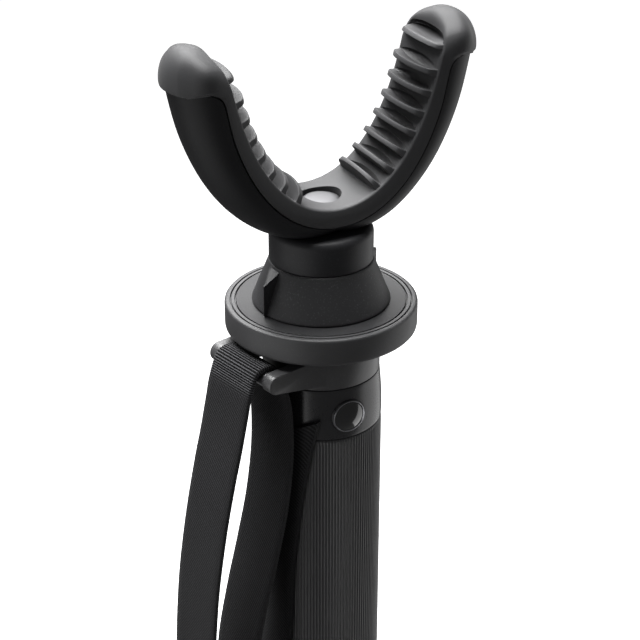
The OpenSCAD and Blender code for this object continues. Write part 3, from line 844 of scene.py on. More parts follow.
    def seam(self, s: float, d: float) -> float:
        """How far the sections near the cap are drawn up, which lays its lower edge flat.

        Args:
            s: Distance along the arm.
            d: Depth in the section.

        Returns:
            The lift at that depth.
        """
        start, end = self.seam_run
        u = max(0.0, min(1.0, d / (self.lip_full * self.thickness(s))))
        return self.seam_lift * 4 * u * (1 - u) * smooth(self.shell_end - start, self.shell_end - end, s)


@dataclass
class Shell:
    """Hard shell of the rest: a neck between the liner's lips and a round back outside them."""

    form: ArmForm
    edge: float = 0.25
    arm_steps: int = 44
    rise_steps: int = 20
    back_steps: int = 16
    flat_steps: int = 3

    def section(self, s: float) -> list[Pair]:
        """Outline of a section.

        Args:
            s: Distance along the arm.

        Returns:
            The y and d of each point, all round.
        """
        f = self.form
        top = f.liner_t + f.clear
        low = f.lip(s + f.clear) + f.clear
        t = f.thickness(s)
        neck = [(f.half_depth(d, s) - f.lip_wall - f.clear, d) for d in (top, (top + low) / 2, low)]
        shoulder = (f.half_depth(low, s) - self.edge, low)
        span = t - low - self.edge
        turns = [math.pi / 2 * k / self.back_steps for k in range(self.back_steps)]
        back = [low + self.edge + span * math.sin(a) for a in turns]
        right = neck[1:] + [shoulder] + [(f.half_depth(d, s), d) for d in back]
        n = self.flat_steps
        flat = [(neck[0][0] * k / n, top) for k in range(-n, n + 1)]
        return flat + right + [(0.0, t)] + [(-y, d) for y, d in reversed(right)]

    def build(self, finishes: Finishes) -> None:
        """Skin the shell and dress it.

        Args:
            finishes: The monopod's finishes.
        """
        f = self.form
        arm = [(f.shell_end - f.lip_rise) * k / self.arm_steps for k in range(self.arm_steps)]
        rise = [f.shell_end - f.lip_rise * (1 - k / self.rise_steps) for k in range(self.rise_steps + 1)]
        marks = arm + rise
        floor = f.base_z - f.floor_t
        rings = []
        for s in [-m for m in reversed(marks[1:])] + marks:
            ring = [f.place(s, y, d) for y, d in self.section(abs(s))]
            for point in ring:
                point.z = max(point.z, floor * MM)
            rings.append(ring)
        piece = Bench.skin("rest_shell_moulding", rings)
        finishes.fit(piece, "shell", "rest", stands_for=["rest_shell"])


@dataclass(frozen=True)
class FinForm:
    """Sections over a fin and the gutter above it, with places at the fin's ends and in its middle."""

    ends: Row
    middles: Row
    gutter_ends: Row
    gutter_middles: Row
    gutter_depths: Row

    # Shares of the fin's height on each of its sections
    END_HEIGHTS = (0.0, 0.25, 0.6, 0.88, 0.96, 0.99, 1.0, 1.0, 1.0, 0.985, 0.94, 0.82, 0.6, 0.25, 0.0)
    MIDDLE_HEIGHTS = (0.0, 0.25, 0.6, 0.88, 0.96, 0.99, 1.0, 1.0, 1.0, 0.985, 0.94, 0.8, 0.55, 0.28, 0.05)

    def sections(self, start: float = 0.0) -> list[Row]:
        """Rows of the sections, in order.

        Args:
            start: Place that the others are counted from.

        Returns:
            Places at the ends and in the middle, shares of height at both, and the gutter's depth.
        """
        fin = zip(self.ends, self.middles, self.END_HEIGHTS, self.MIDDLE_HEIGHTS)
        rows = [(start + end, start + middle, low, high, 0.0) for end, middle, low, high in fin]
        gutter = zip(self.gutter_ends, self.gutter_middles, self.gutter_depths)
        return rows + [(start + end, start + middle, 0.0, 0.0, depth) for end, middle, depth in gutter]


@dataclass
class Liner:
    """Rubber liner of the rest: lips round the shell, bowed fins with gutters, and two domed caps."""

    form: ArmForm
    fin_count: int = 7
    fin_first: float = 14.0
    fin_pitch: float = 6.45
    fin_h: float = 5.0
    fin_root: float = 2.0
    fin_end: float = 1.1
    dome_fin: float = 0.93
    gutter_share: float = 0.97
    last_gap: float = 0.2
    lip_round: float = 0.8
    proud: float = 0.25
    cap_h: float = 11.0
    cap_lip: float = 1.4
    flare: Pair = (0.1, 0.6)
    flare_power: int = 9
    dome_shift: float = 0.6
    dome_narrow: float = 0.8
    hood_angle: float = 33.0
    hood_middle: float = 38.5
    hood_end: float = 30.0
    hood_back: float = 0.36
    hood_over: float = 0.3
    hood_round: float = 0.55
    hood_fade: float = 85.0
    wall_bend: float = 1.6
    round_run: Pair = (30.0, 80.0)
    inner_run: Pair = (-0.1, 0.5)
    lip_draw: float = 0.56
    seam_fade: float = 65.0
    across: int = 56
    middle_steps: int = 8
    corner_steps: int = 4
    side_steps: int = 8
    inner_steps: int = 4
    floor_steps: int = 9
    eye_d: float = 12.4
    eye_depth: float = 12.0
    eye_steps: int = 96

    # A fin of the arms in millimetres, and the fin under the hood with angles up the dome
    FIN = FinForm(
        (-1.2, -1.1, -0.98, -0.88, -0.82, -0.74, -0.62, 0.0, 0.62, 0.74, 0.8, 0.88, 0.96, 1.08, 1.2),
        (-1.2, -1.1, -0.98, -0.88, -0.82, -0.74, -0.62, 0.0, 0.62, 0.74, 0.78, 0.7, 0.45, 0.2, 0.05),
        (1.25, 1.3, 1.36, 1.42, 1.48, 1.54, 1.62, 2.2, 4.0),
        (0.08, 0.4, 1.2, 2.0, 2.6, 2.95, 3.2, 3.5, 4.1),
        (1.0, 1.9, 2.2, 2.0, 1.4, 0.6, 0.0, 0.0, 0.0),
    )
    DOME_FIN = FinForm(
        (13.5, 14.1, 14.7, 15.3, 15.7, 16.2, 17.0, 18.7, 20.4, 21.0, 21.4, 21.9, 22.4, 23.0, 23.6),
        (13.5, 14.1, 14.7, 15.3, 15.7, 16.2, 17.0, 18.7, 20.4, 21.0, 21.4, 20.8, 19.3, 18.0, 17.3),
        (24.0, 24.4, 24.8, 25.2, 25.6, 26.2, 29.6, 32.0, 32.9),
        (17.2, 18.6, 21.4, 23.8, 25.2, 26.2, 29.6, 31.6, 32.9),
        (1.6, 2.6, 2.7, 1.9, 0.7, 0.0, 0.1, 0.9, 1.3),
    )
    # Angles of the dome's plain sections under and over that fin
    DOME_LOW = (0, 4, 8, 11)
    DOME_HIGH = (33.1, 33.6, 35, 37, 41, 45, 50, 55, 61, 67, 73, 79, 84, 87.5)

    @property
    def fin_half(self) -> float:
        """Half of a fin's length from front to back."""
        return self.form.depth / 2 - self.lip_round

    @staticmethod
    def plain(place: float) -> Row:
        """Row of a section with neither fin nor gutter."""
        return (place, place, 0.0, 0.0, 0.0)

    def lens(self, y: float) -> float:
        """Height of a fin's bowed edge at y."""
        return self.fin_end + (self.fin_h - self.fin_end) * self.bow(y)

    def gutter(self, y: float) -> float:
        """Share of a gutter at y: a lens with its ends at the fin's."""
        return max(0.0, 1 - (y / self.fin_half / self.gutter_share) ** 2)

    def bow(self, y: float) -> float:
        """Share of a bowed edge's height at y: none at the lips."""
        return math.sqrt(max(0.0, 1 - (y / self.fin_half) ** 2))

    def climbed(self, angle: float, share: float) -> float:
        """Angle up the dome of a section's point, with the hood's edge as an arch.

        Args:
            angle: The section's own angle.
            share: Share of the arch's height, from 0 at the lips to 1 in the middle.

        Returns:
            The angle at that point.
        """
        hood = self.hood_end + share * (self.hood_middle - self.hood_end)
        if angle < self.hood_angle:
            return angle * hood / self.hood_angle
        return hood + (angle - self.hood_angle) * (90 - hood) / (90 - self.hood_angle)

    def drawn(self, angle: float, share: float) -> float:
        """Share of the inner side's width left on a section of the dome.

        Args:
            angle: The section's own angle.
            share: How far the wall falls back under the hood, from 0 at the lips to 1 in the middle.

        Returns:
            The share of the width at the dome's foot.
        """
        lip = (1 - self.climbed(angle, 0.0) / 90) ** self.lip_draw
        if angle < self.hood_angle:
            wall = 1 - (1 - self.hood_back) * (angle / self.hood_angle) ** self.wall_bend
            return lip + share * (wall - lip)
        over = math.radians(90 * (angle - self.hood_angle) / (90 - self.hood_angle))
        top = (self.hood_back + self.hood_over) * math.cos(over) ** self.hood_round
        return lip + share * (1 - smooth(self.hood_angle, self.hood_fade, angle)) * (top - lip)

    def face(self, row: Row) -> list[Row]:
        """The liner's face on a section, from front to back.

        Args:
            row: The section's row.

        Returns:
            Place along the arm, y and depth of each point.
        """
        end, middle, end_fin, middle_fin, dip = row
        points = []
        for k in range(self.across + 1):
            y = self.fin_half * (2 * k / self.across - 1)
            g = self.gutter(y)
            fin = end_fin + g * (middle_fin - end_fin)
            points.append((end + g * (middle - end), y, g * dip - fin * self.lens(y)))
        return points

    def over(self, d: float, s: float) -> float:
        """How far the lip stands out of the shell's outline, which grows towards the cap.

        Args:
            d: Depth in the section.
            s: Distance along the arm.

        Returns:
            The distance.
        """
        t = self.form.thickness(s)
        start, end = self.flare
        grown = self.form.rise(s) ** self.flare_power
        return self.proud + (self.cap_lip - self.proud) * grown * smooth(start * t, end * t, d)

    def side(self, s: float) -> list[Pair]:
        """Rounded corner and outer side of the lip, from the face to the lip's edge.

        Args:
            s: Distance along the arm.

        Returns:
            The y and d of each point.
        """
        f = self.form
        r = self.lip_round
        top = f.half_depth(r, s) + self.proud
        points = []
        for k in range(1, self.corner_steps + 1):
            a = math.pi / 2 * k / self.corner_steps
            points.append((self.fin_half + (top - self.fin_half) * math.sin(a), r * (1 - math.cos(a))))
        w = f.lip(s)
        for k in range(1, self.side_steps + 1):
            d = r + (w - r) * k / self.side_steps
            points.append((f.half_depth(d, s) + self.over(d, s), d))
        return points

    def channel(self, s: float) -> list[Pair]:
        """Section behind the face that holds the shell between two lips.

        Args:
            s: Distance along the arm.

        Returns:
            The y and d of each point.
        """
        f = self.form
        w = f.lip(s)
        inner = []
        for k in range(self.inner_steps):
            d = w + (f.liner_t - w) * k / (self.inner_steps - 1)
            inner.append((f.half_depth(d, s) - f.lip_wall, d))
        wide = inner[-1][0]
        n = self.floor_steps + 1
        floor = [(wide * (1 - 2 * k / n), f.liner_t) for k in range(1, n)]
        right = self.side(s) + inner
        return right + floor + [(-y, d) for y, d in reversed(right)]

    def full(self, s: float) -> list[Pair]:
        """Section behind the face that closes the cap, with as many points as the channel.

        Args:
            s: Distance along the arm.

        Returns:
            The y and d of each point.
        """
        f = self.form
        t = f.thickness(s)
        m = f.belly * t
        side = self.side(s)
        start = math.degrees(math.asin((f.lip_full - f.belly) / (1 - f.belly)))
        count = 2 * self.inner_steps + self.floor_steps
        wide = f.depth / 2 + f.bulge + self.cap_lip
        back = []
        for k in range(1, count + 1):
            a = math.radians(start + (180 - 2 * start) * k / (count + 1))
            back.append((wide * math.cos(a), m + (t + self.cap_lip - m) * math.sin(a)))
        return side + back + [(-y, d) for y, d in reversed(side)]

    def stations(self) -> list[Row]:
        """Sections along an arm up to the cap.

        Returns:
            The sections' rows.
        """
        f = self.form
        first = self.fin_first - self.fin_root / 2
        found = [self.plain(first * k / self.middle_steps) for k in range(self.middle_steps)]
        for k in range(self.fin_count):
            found += self.FIN.sections(self.fin_first + k * self.fin_pitch)
        found = [row for row in found if row[0] < f.shell_end - self.last_gap]
        return found + [self.plain(f.shell_end), self.plain(f.cap_start)]

    def dome(self, side: int) -> list[Ring]:
        """Rings of a cap's dome, drawn in towards its top.

        Args:
            side: 1 for the right arm and -1 for the left.

        Returns:
            The rings from the dome's foot up.
        """
        f = self.form
        s = side * f.length
        t = f.thickness(f.length)
        back = self.full(f.length)
        middle = (t + self.cap_lip) / 2
        mid = f.place(s, 0, middle) - Vector((0, 0, MM * f.seam(f.length, middle)))
        lift = MM * Vector((side * self.dome_shift, 0, self.cap_h))
        wide = MM * (f.depth / 2 + f.bulge + self.proud)

        def raised(y: float, d: float, angle: float) -> Vector:
            """Move a point of the cap's foot up the dome.

            Args:
                y: Distance to the back.
                d: Depth outwards.
                angle: The section's own angle.

            Returns:
                The moved point, in metres.
            """
            seam = MM * f.seam(f.length, d)
            v = f.place(s, y, d) - mid - Vector((0, 0, seam))
            round_off = math.atan2(v.y / wide, v.x / (middle * MM))
            share = 0.0 if d else self.bow(y)
            climbed = self.climbed(angle, share)
            blunt = smooth(*self.round_run, climbed)
            v.x += blunt * (middle * MM * math.cos(round_off) - v.x)
            v.y += blunt * (wide * math.sin(round_off) - v.y)
            c = math.cos(math.radians(climbed))
            inside = smooth(*self.inner_run, -side * v.x / (t * MM))
            draw = c + inside * (self.drawn(angle, share) - c)
            left = 1 - smooth(0, self.seam_fade, climbed)
            shrunk = Vector((v.x * draw, v.y * c ** self.dome_narrow, v.z * c + seam * left))
            return mid + lift * math.sin(math.radians(climbed)) + shrunk

        low, high = ([self.plain(a) for a in angles] for angles in (self.DOME_LOW, self.DOME_HIGH))
        rings = []
        for row in low + self.DOME_FIN.sections() + high:
            front = []
            for angle, y, d in self.face(row):
                reach = d * (self.dome_fin if d < 0 else 1.0)
                front.append(raised(y, 0, angle) + Vector((side * MM * reach, 0, 0)))
            rings.append(front + [raised(y, d, row[0]) for y, d in back])
        return rings

    def half(self, side: int) -> list[Ring]:
        """Rings of one arm from the middle of the floor to the top of its cap.

        Args:
            side: 1 for the right arm and -1 for the left.

        Returns:
            The rings.
        """
        f = self.form
        rings = []
        for row in self.stations():
            front = [f.place(side * s, y, d) for s, y, d in self.face(row)]
            rings.append(front + [f.place(side * row[0], y, d) for y, d in self.channel(row[0])])
        closing = f.cap_start + f.clear / 2
        front = [f.place(side * closing, y, d) for _, y, d in self.face(self.plain(0.0))]
        rings.append(front + [f.place(side * closing, y, d) for y, d in self.full(f.cap_start)])
        return rings + self.dome(side)

    def build(self, finishes: Finishes) -> None:
        """Skin the liner, cut its eye and dress it.

        Args:
            finishes: The monopod's finishes.
        """
        left = self.half(-1)
        rings = list(reversed(left[1:])) + self.half(1)
        piece = Bench.skin("rest_liner_rubber", rings)
        Bench.clear()
        bpy.ops.mesh.primitive_cylinder_add(vertices=self.eye_steps, radius=self.eye_d / 2 * MM,
                                            depth=self.eye_depth * MM,
                                            location=(0, 0, self.form.base_z * MM))
        punch = bpy.context.object
        Bench.pick(piece)
        cut = piece.modifiers.new("eye", "BOOLEAN")
        cut.operation = "DIFFERENCE"
        cut.solver = "EXACT"
        cut.object = punch
        bpy.ops.object.modifier_apply(modifier="eye")
        bpy.data.objects.remove(punch)
        bpy.ops.object.shade_smooth_by_angle(angle=Bench.SMOOTH_UP_TO)
        finishes.fit(piece, "liner_rubber", "rest", stands_for=["rest_liner"])


@dataclass
class Strap:
    """Wrist strap: one length of webbing down the grip, up over the bar and down to its sewn end.

    A route point is the distance out from where the webbing lies on the grip, the drop under the head
    disc, the turn round the column and the share of the grip's curve that the webbing takes.
    """

    width: float = 20.0
    thick: float = 1.6
    clear: float = 0.3
    bar_d: float = 5.0
    bar_x: float = 29.3
    lay: float = 20.4
    ring_turn: float = 13.5
    slant: float = 0.4
    slant_run: float = 16.0
    rib_pitch: float = 0.74
    rib_height: float = 0.24
    rib_reach: float = 6.0
    rib_shift: float = 5.2
    rib_power: int = 6
    bar_steps: int = 80
    free_steps: int = 10
    colour: Colour = (0.0205, 0.0205, 0.022)
    top_z: float = field(init=False)
    bar_drop: float = field(init=False)

    TAIL = ((0, 37, 21, 1), (0, 52, 10.5, 1), (0, 70, 2.8, 1), (0, 90, -3.2, 1), (0, 110, -5.8, 1),
            (2.5, 132, -5, 0.5), (7.5, 152, -1.5, 0), (12.5, 171, 0, 0))
    LOOP = ((18.5, 187, 0, 0), (25.5, 193, 0, 0), (31, 186, 0, 0), (33, 168, 0, 0), (33, 142, 0, 0),
            (32.2, 112, 0, 0), (30, 86, 0, 0), (26.3, 64, 0, 0), (22.2, 46, 0, 0), (19.8, 37, 0, 0),
            (17.2, 26, 0, 0))
    END = ((1.9, 44, 7, 0), (4.0, 62, 6, 0), (7.6, 80, 3.5, 0), (12.0, 98, 2, 0), (15.4, 117, 0.5, 0),
           (16.4, 136, 0, 0), (15.6, 155, 0, 0), (16.2, 170, 0, 0), (20.2, 182, 0, 0))
    # Points across half of the webbing's outline: share of the half width and of the half thickness
    OUTLINE = ((-1.0, 0.0), (-0.985, 0.75), (-0.95, 1.0), (-0.75, 1.0), (-0.5, 1.0), (-0.25, 1.0),
               (0.0, 1.0), (0.25, 1.0), (0.5, 1.0), (0.75, 1.0), (0.95, 1.0), (0.985, 0.75))

    def __post_init__(self) -> None:
        """Take heights from the head disc and the bar."""
        self.top_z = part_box("head_disc")[1].z / MM
        low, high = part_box("strap_bar")
        self.bar_drop = self.top_z - (low.z + high.z) / 2 / MM

    def route(self) -> list[Vector]:
        """All points of the route, which goes over the bar between the loop and the sewn strand.

        Returns:
            The route points.
        """
        wrap = self.bar_d / 2 + self.clear + self.thick / 2
        out = self.bar_x - self.lay
        drop = self.bar_drop
        over_bar = ((15.9, drop + 5.5, 0, 0), (14.3, drop + 0.8, 0, 0),
                    (out + wrap, drop - 0.75 * wrap, 0, 0), (out, drop - wrap - 0.1, 0, 0),
                    (out - 0.8 * wrap, drop - 0.7 * wrap, 0, 0),
                    (4.2, drop + 2.5, 3, 0), (2.0, drop + 12, 6, 0))
        return [Vector(p) for p in self.TAIL + self.LOOP + over_bar + self.END]

    def line(self) -> list[Vector]:
        """Draw a smooth curve through the route, with closer points where it passes over the bar.

        Returns:
            Points of the curve, as route points.
        """
        r = self.route()
        last = len(r) - 1
        bar = len(self.TAIL) + len(self.LOOP)
        found = []
        for i in range(last):
            a, b, c, e = r[max(0, i - 1)], r[i], r[i + 1], r[min(last, i + 2)]
            steps = self.bar_steps if bar - 2 < i < bar + 4 else self.free_steps
            for k in range(steps):
                t = k / steps
                found.append(0.5 * (2 * b + (c - a) * t + (2 * a - 5 * b + 4 * c - e) * t * t
                                    + (3 * b - a - 3 * c + e) * t ** 3))
        return found + [r[last]]

    def lengths(self, line: Sequence[Vector]) -> list[float]:
        """Measure the webbing.

        Args:
            line: Points of its line.

        Returns:
            The length up to each point.
        """
        run = [0.0]
        for here, there in zip(line, line[1:]):
            turned = math.radians(there[2] - here[2]) * (self.lay + here[0])
            run.append(run[-1] + math.hypot(there[0] - here[0], there[1] - here[1], turned))
        return run

    def crest(self, line: Sequence[Vector]) -> int:
        """Index of the highest point over the bar."""
        return min(range(len(line)), key=lambda i: line[i][1])

    def finish(self, line: Sequence[Vector], run: Sequence[float]) -> Webbing:
        """The webbing's finish, with painted highlights and painted shade on its band of cords outside the bar.

        Args:
            line: Points of the webbing's line.
            run: Length up to each point.

        Returns:
            The finish.
        """
        middle = run[self.crest(line)] - self.rib_shift
        band = (middle - self.rib_reach, middle + self.rib_reach)
        return Webbing("webbing", self.colour, self.width, run[-1], band, self.rib_pitch)

    def ring(self, p: Vector, normal: Vector, rib: float, cut: float) -> Ring:
        """Outline of the webbing at a point of its line.

        Args:
            p: The point.
            normal: Direction out of the webbing, away from the column and up.
            rib: Height of the cords there.
            cut: Slope of the free end there.

        Returns:
            The outline's points, in metres.
        """
        aside = math.radians(p[2]) * (1 - p[3]) * (self.lay + p[0])
        turn = math.radians(180 + self.ring_turn + p[2] * p[3])
        found = []
        for m, h in self.OUTLINE + tuple((-m, -h) for m, h in self.OUTLINE):
            w = m * self.width / 2
            raised = h * (self.thick / 2 + rib * abs(h))
            r = self.lay + p[0] + raised * normal.x
            z = self.top_z - p[1] + raised * normal.y + w * cut
            bend = w / r
            x = r + p[3] * (r * math.cos(bend) - r)
            y = w + p[3] * (r * math.sin(bend) - w) + aside
            found.append(MM * Vector((x * math.cos(turn) - y * math.sin(turn),
                                      x * math.sin(turn) + y * math.cos(turn), z)))
        return found

    def build(self, finishes: Finishes, line: Sequence[Vector], run: Sequence[float]) -> None:
        """Args:
            finishes: The monopod's finishes.
            line: Points of the webbing's line.
            run: Length up to each point.
        """
        crest = self.crest(line)
        rings = []
        for i, p in enumerate(line):
            v = line[max(0, i - 1)] - line[min(len(line) - 1, i + 1)]
            normal = Vector((v[1], v[0])).normalized()
            cut = self.slant * max(0.0, 1 - run[i] / self.slant_run)
            off = (run[i] - run[crest] + self.rib_shift) / self.rib_reach
            cord = 2 * abs(math.cos(math.pi * run[i] / self.rib_pitch)) - 1
            rib = self.rib_height * max(0.0, 1 - off ** self.rib_power) * cord
            rings.append(self.ring(p, normal, rib, cut))
        piece = Bench.skin("wrist_strap_webbing", rings, marks=[length / run[-1] for length in run])
        finishes.fit(piece, "webbing", "handle", stands_for=["wrist_strap"])
        self.width * MM


@dataclass
class Grip:
    """Rubber sleeve with fine lengthwise ribs and a rounded bead at its lower end."""

    ribs: int = 121
    rib_depth: float = 0.28
    rib_start: float = 12.6
    rib_stop: float = 1.92
    rib_rows: int = 8
    bead: float = 1.4

    # Depth of the groove beside a rib, over one pitch
    PITCH = (0.0, 0.0, 0.35, 1.0, 1.0, 0.35)
    # The bead: out from the sleeve, and up from its lower end
    BEAD = ((-0.4, 0.0), (0.56, 0.56), (1.1, 1.26), (1.4, 2.24), (1.4, 6.16), (1.1, 7.28), (0.56, 9.24),
            (0.05, 10.78), (0.0, 11.76))
    # The upper edge: in from the sleeve, down from its upper end, and share of the ribs' depth
    EDGE = ((0.05, 0.96, 0.8), (0.3, 0.3, 0.2), (0.72, 0.0, 0.0))

    def rows(self) -> list[Row]:
        """Profile of the sleeve, from its bore at the lower end to that at the upper.

        Returns:
            Radius, height and share of the ribs' depth on each row.
        """
        low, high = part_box("grip")
        bottom, top = low.z / MM, high.z / MM
        r = high.x / MM - self.bead
        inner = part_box("upper_tube")[1].x / MM
        start, stop = bottom + self.rib_start, top - self.rib_stop
        rows = [(inner, bottom, 0)]
        rows += [(r + out, bottom + up, 0) for out, up in self.BEAD]
        rows += [(r, start + (stop - start) * k / self.rib_rows, 1) for k in range(self.rib_rows + 1)]
        rows += [(r - inset, top - down, share) for inset, down, share in self.EDGE]
        return rows + [(inner, top, 0)]

    def build(self, finishes: Finishes) -> None:
        """Skin the sleeve and dress it.

        Args:
            finishes: The monopod's finishes.
        """
        count = self.ribs * len(self.PITCH)
        rings = []
        for radius, z, share in self.rows():
            ring = []
            for k in range(count):
                a = 2 * math.pi * k / count
                rho = radius - share * self.rib_depth * self.PITCH[k % len(self.PITCH)]
                ring.append(MM * Vector((rho * math.cos(a), rho * math.sin(a), z)))
            rings.append(ring)
        piece = Bench.skin("grip_sleeve", rings, loop=True)
        finishes.fit(piece, "grip_rubber", "handle", stands_for=["grip"])


@dataclass
class Badge:
    """Round badge on the collar: a glossy dome in a bright rim."""

    seat_depth: float = 0.75
    lap: float = 0.2
    gap: float = 0.05
    sink: float = 0.6
    dome_h: float = 1.4
    dome_steps: int = 12
    steps: int = 72

    # Top of the rim, from its outside in: inset and height over the seat
    RIM = ((0.0, 0.0), (0.12, 0.2), (0.3, 0.25), (0.45, 0.12))

    def build(self, finishes: Finishes) -> None:
        """Turn the rim and the dome and dress them.

        Args:
            finishes: The monopod's finishes.
        """
        low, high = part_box("badge")
        centre = Vector(((low.x + high.x) / 2, high.y, (low.z + high.z) / 2))
        r = (high.x - low.x) / 2 / MM
        inside = r - self.RIM[-1][0]
        hidden = inside - self.lap
        seat = (high.y - low.y) / MM - self.seat_depth
        ring = [(hidden, 0), (r, 0)] + [(r - inset, seat + up) for inset, up in self.RIM]
        ring += [(hidden, seat - self.lap), (hidden, 0)]
        rim = Bench.turned("badge_rim", ring, self.steps, Axis.FRONT, centre)
        finishes.fit(rim, "bright_rim", "handle")
        reach = inside - self.gap
        dome = [(0.0, seat - self.sink), (reach, seat - self.sink)]
        for k in range(self.dome_steps + 1):
            share = 1 - k / self.dome_steps
            dome.append((reach * share, seat + self.dome_h * (1 - share * share)))
        piece = Bench.turned("badge_dome", dome, self.steps, Axis.FRONT, centre)
        finishes.fit(piece, "badge", "handle", stands_for=["badge"])


@dataclass
class Knob:
    """Lock knob: a cone with two finger wings whose steps face the same way round."""

    base_r: float = 21.6
    wing_r: float = 22.5
    wing_run: float = 24.0
    wing_drop: float = 3.7
    dip: float = 0.4
    bore: float = 4.85
    turn: float = 193.5
    steps: int = 240
    rows: int = 28

    # Turns beside a wing's step, and an edge's rounding as height and inset
    STEP = (-1.6, -0.8, -0.3, -0.05, 0.05, 0.2, 0.6)
    EDGE = ((0.0, 0.4), (0.1, 0.14), (0.35, 0.0))

    def radius(self, turn: float, z: float, height: float, top_r: float) -> float:
        """Radius of the knob: the cone's, or a wing's where it stands out of the cone.

        Args:
            turn: Turn round the axis, in degrees.
            z: Height over the knob's foot.
            height: Height of the knob.
            top_r: Radius of its upper end.

        Returns:
            The radius.
        """
        cone = self.base_r + (top_r - self.base_r) * z / height
        off = (turn - self.turn) % 180 - 180
        if off < -self.wing_run:
            return cone
        near = Vector((self.wing_r + self.dip, 0))
        run = math.radians(-self.wing_run)
        side = top_r * Vector((math.cos(run), math.sin(run))) - near
        way = Vector((math.cos(math.radians(off)), math.sin(math.radians(off))))
        slant = near.cross(side) / way.cross(side)
        shoulder = height - self.wing_drop
        fall = max(0.0, (z - shoulder) / (self.wing_drop - self.dip))
        return max(cone, min(slant, self.wing_r + fall * (top_r - 2 * self.dip - self.wing_r)))

    def build(self, finishes: Finishes) -> None:
        """Skin the knob and dress it.

        Args:
            finishes: The monopod's finishes.
        """
        low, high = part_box("lock_knob")
        top_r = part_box("rest_hub")[1].x / MM
        height = (high.z - low.z) / MM
        turns = {360 * k / self.steps for k in range(self.steps)}
        turns |= {(self.turn + half + off) % 360 for half in (0, 180) for off in self.STEP}
        end = self.EDGE[-1][0]
        levels = list(self.EDGE)
        levels += [(end + (height - 2 * end) * k / self.rows, 0.0) for k in range(1, self.rows)]
        levels += [(height - z, inset) for z, inset in reversed(self.EDGE)]
        rings = []
        for z, inset in [(0.0, None)] + levels + [(height, None)]:
            ring = []
            for turn in sorted(turns):
                r = self.bore if inset is None else self.radius(turn, z, height, top_r) - inset
                a = math.radians(turn)
                ring.append(Vector((MM * r * math.cos(a), MM * r * math.sin(a), low.z + MM * z)))
            rings.append(ring)
        piece = Bench.skin("lock_knob_moulding", rings, loop=True)
        finishes.fit(piece, "knob", "knob", stands_for=["lock_knob"])


@dataclass
class Disc:
    """Head disc with a groove near its rim, and the pad let into its top."""

    bore: float = 4.8
    well: float = 8.75
    pad_t: float = 0.8
    pad_gap: float = 0.45
    pad_play: float = 0.1
    pad_edge: float = 0.1
    pad_r: float = 26.4
    groove: Pair = (27.85, 28.3)
    groove_depth: float = 0.8
    break_edge: float = 0.08
    steps: int = 160

    # The disc's rounded edges, as inset and distance from its lower and its upper side
    LOWER_EDGE = ((1.1, 0.0), (0.5, 0.15), (0.12, 0.6), (0.0, 1.2))
    UPPER_EDGE = ((0.0, 0.9), (0.1, 0.45), (0.35, 0.15), (0.8, 0.0))

    def build(self, finishes: Finishes) -> None:
        """Turn the disc and its pad and dress them.

        Args:
            finishes: The monopod's finishes.
        """
        low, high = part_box("head_disc")
        r, top, bottom = high.x / MM, high.z / MM, low.z / MM
        inside, outside = self.groove
        rim = self.pad_r + self.pad_gap
        seat = top - self.pad_t
        deep = top - self.groove_depth
        c = self.break_edge
        disc = [(self.bore, bottom)]
        disc += [(r - inset, bottom + up) for inset, up in self.LOWER_EDGE]
        disc += [(r - inset, top - down) for inset, down in self.UPPER_EDGE]
        disc += [(outside + c, top), (outside, top - c), (outside, deep)]
        disc += [(inside, deep), (inside, top - c), (inside - c, top)]
        disc += [(rim + c, top), (rim, top - c), (rim, seat), (self.well, seat), (self.well, top)]
        disc += [(self.bore, top), (self.bore, bottom)]
        piece = Bench.turned("head_disc_turned", disc, self.steps)
        finishes.fit(piece, "disc", "handle", stands_for=["head_disc"])
        hole = self.well + self.pad_play
        pad = [(hole, seat), (self.pad_r, seat), (self.pad_r, top - self.pad_edge),
               (self.pad_r - self.pad_edge, top), (hole, top), (hole, seat)]
        piece = Bench.turned("disc_pad_turned", pad, self.steps)
        finishes.fit(piece, "pad", "handle", stands_for=["disc_pad"])


@dataclass
class Screw:
    """Screw in the eye of the cradle, with a low domed head."""

    stem_r: float = 3.0
    head_r: float = 5.85
    head_h: float = 3.2
    dome_h: float = 0.8
    dome_in: float = 0.2
    up: float = 1.0
    steps: int = 96

    # The head's edge, as inset and drop under the dome, and angles up the dome
    EDGE = ((0.0, 0.3), (0.1, 0.06))
    DOME = (6, 18, 30, 42, 54, 66, 78)

    def build(self, finishes: Finishes) -> None:
        """Turn the screw and dress it.

        Args:
            finishes: The monopod's finishes.
        """
        low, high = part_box("rest_screw")
        bottom, top = low.z / MM, high.z / MM + self.up
        under = top - self.head_h
        edge = top - self.dome_h
        profile = [(0.0, bottom), (self.stem_r, bottom), (self.stem_r, under), (self.head_r, under)]
        profile += [(self.head_r - inset, edge - drop) for inset, drop in self.EDGE]
        for angle in self.DOME:
            a = math.radians(angle)
            profile.append(((self.head_r - self.dome_in) * math.cos(a), edge + self.dome_h * math.sin(a)))
        piece = Bench.turned("rest_screw_turned", profile + [(0.0, top)], self.steps)
        finishes.fit(piece, "screw", "rest", stands_for=["rest_screw"])


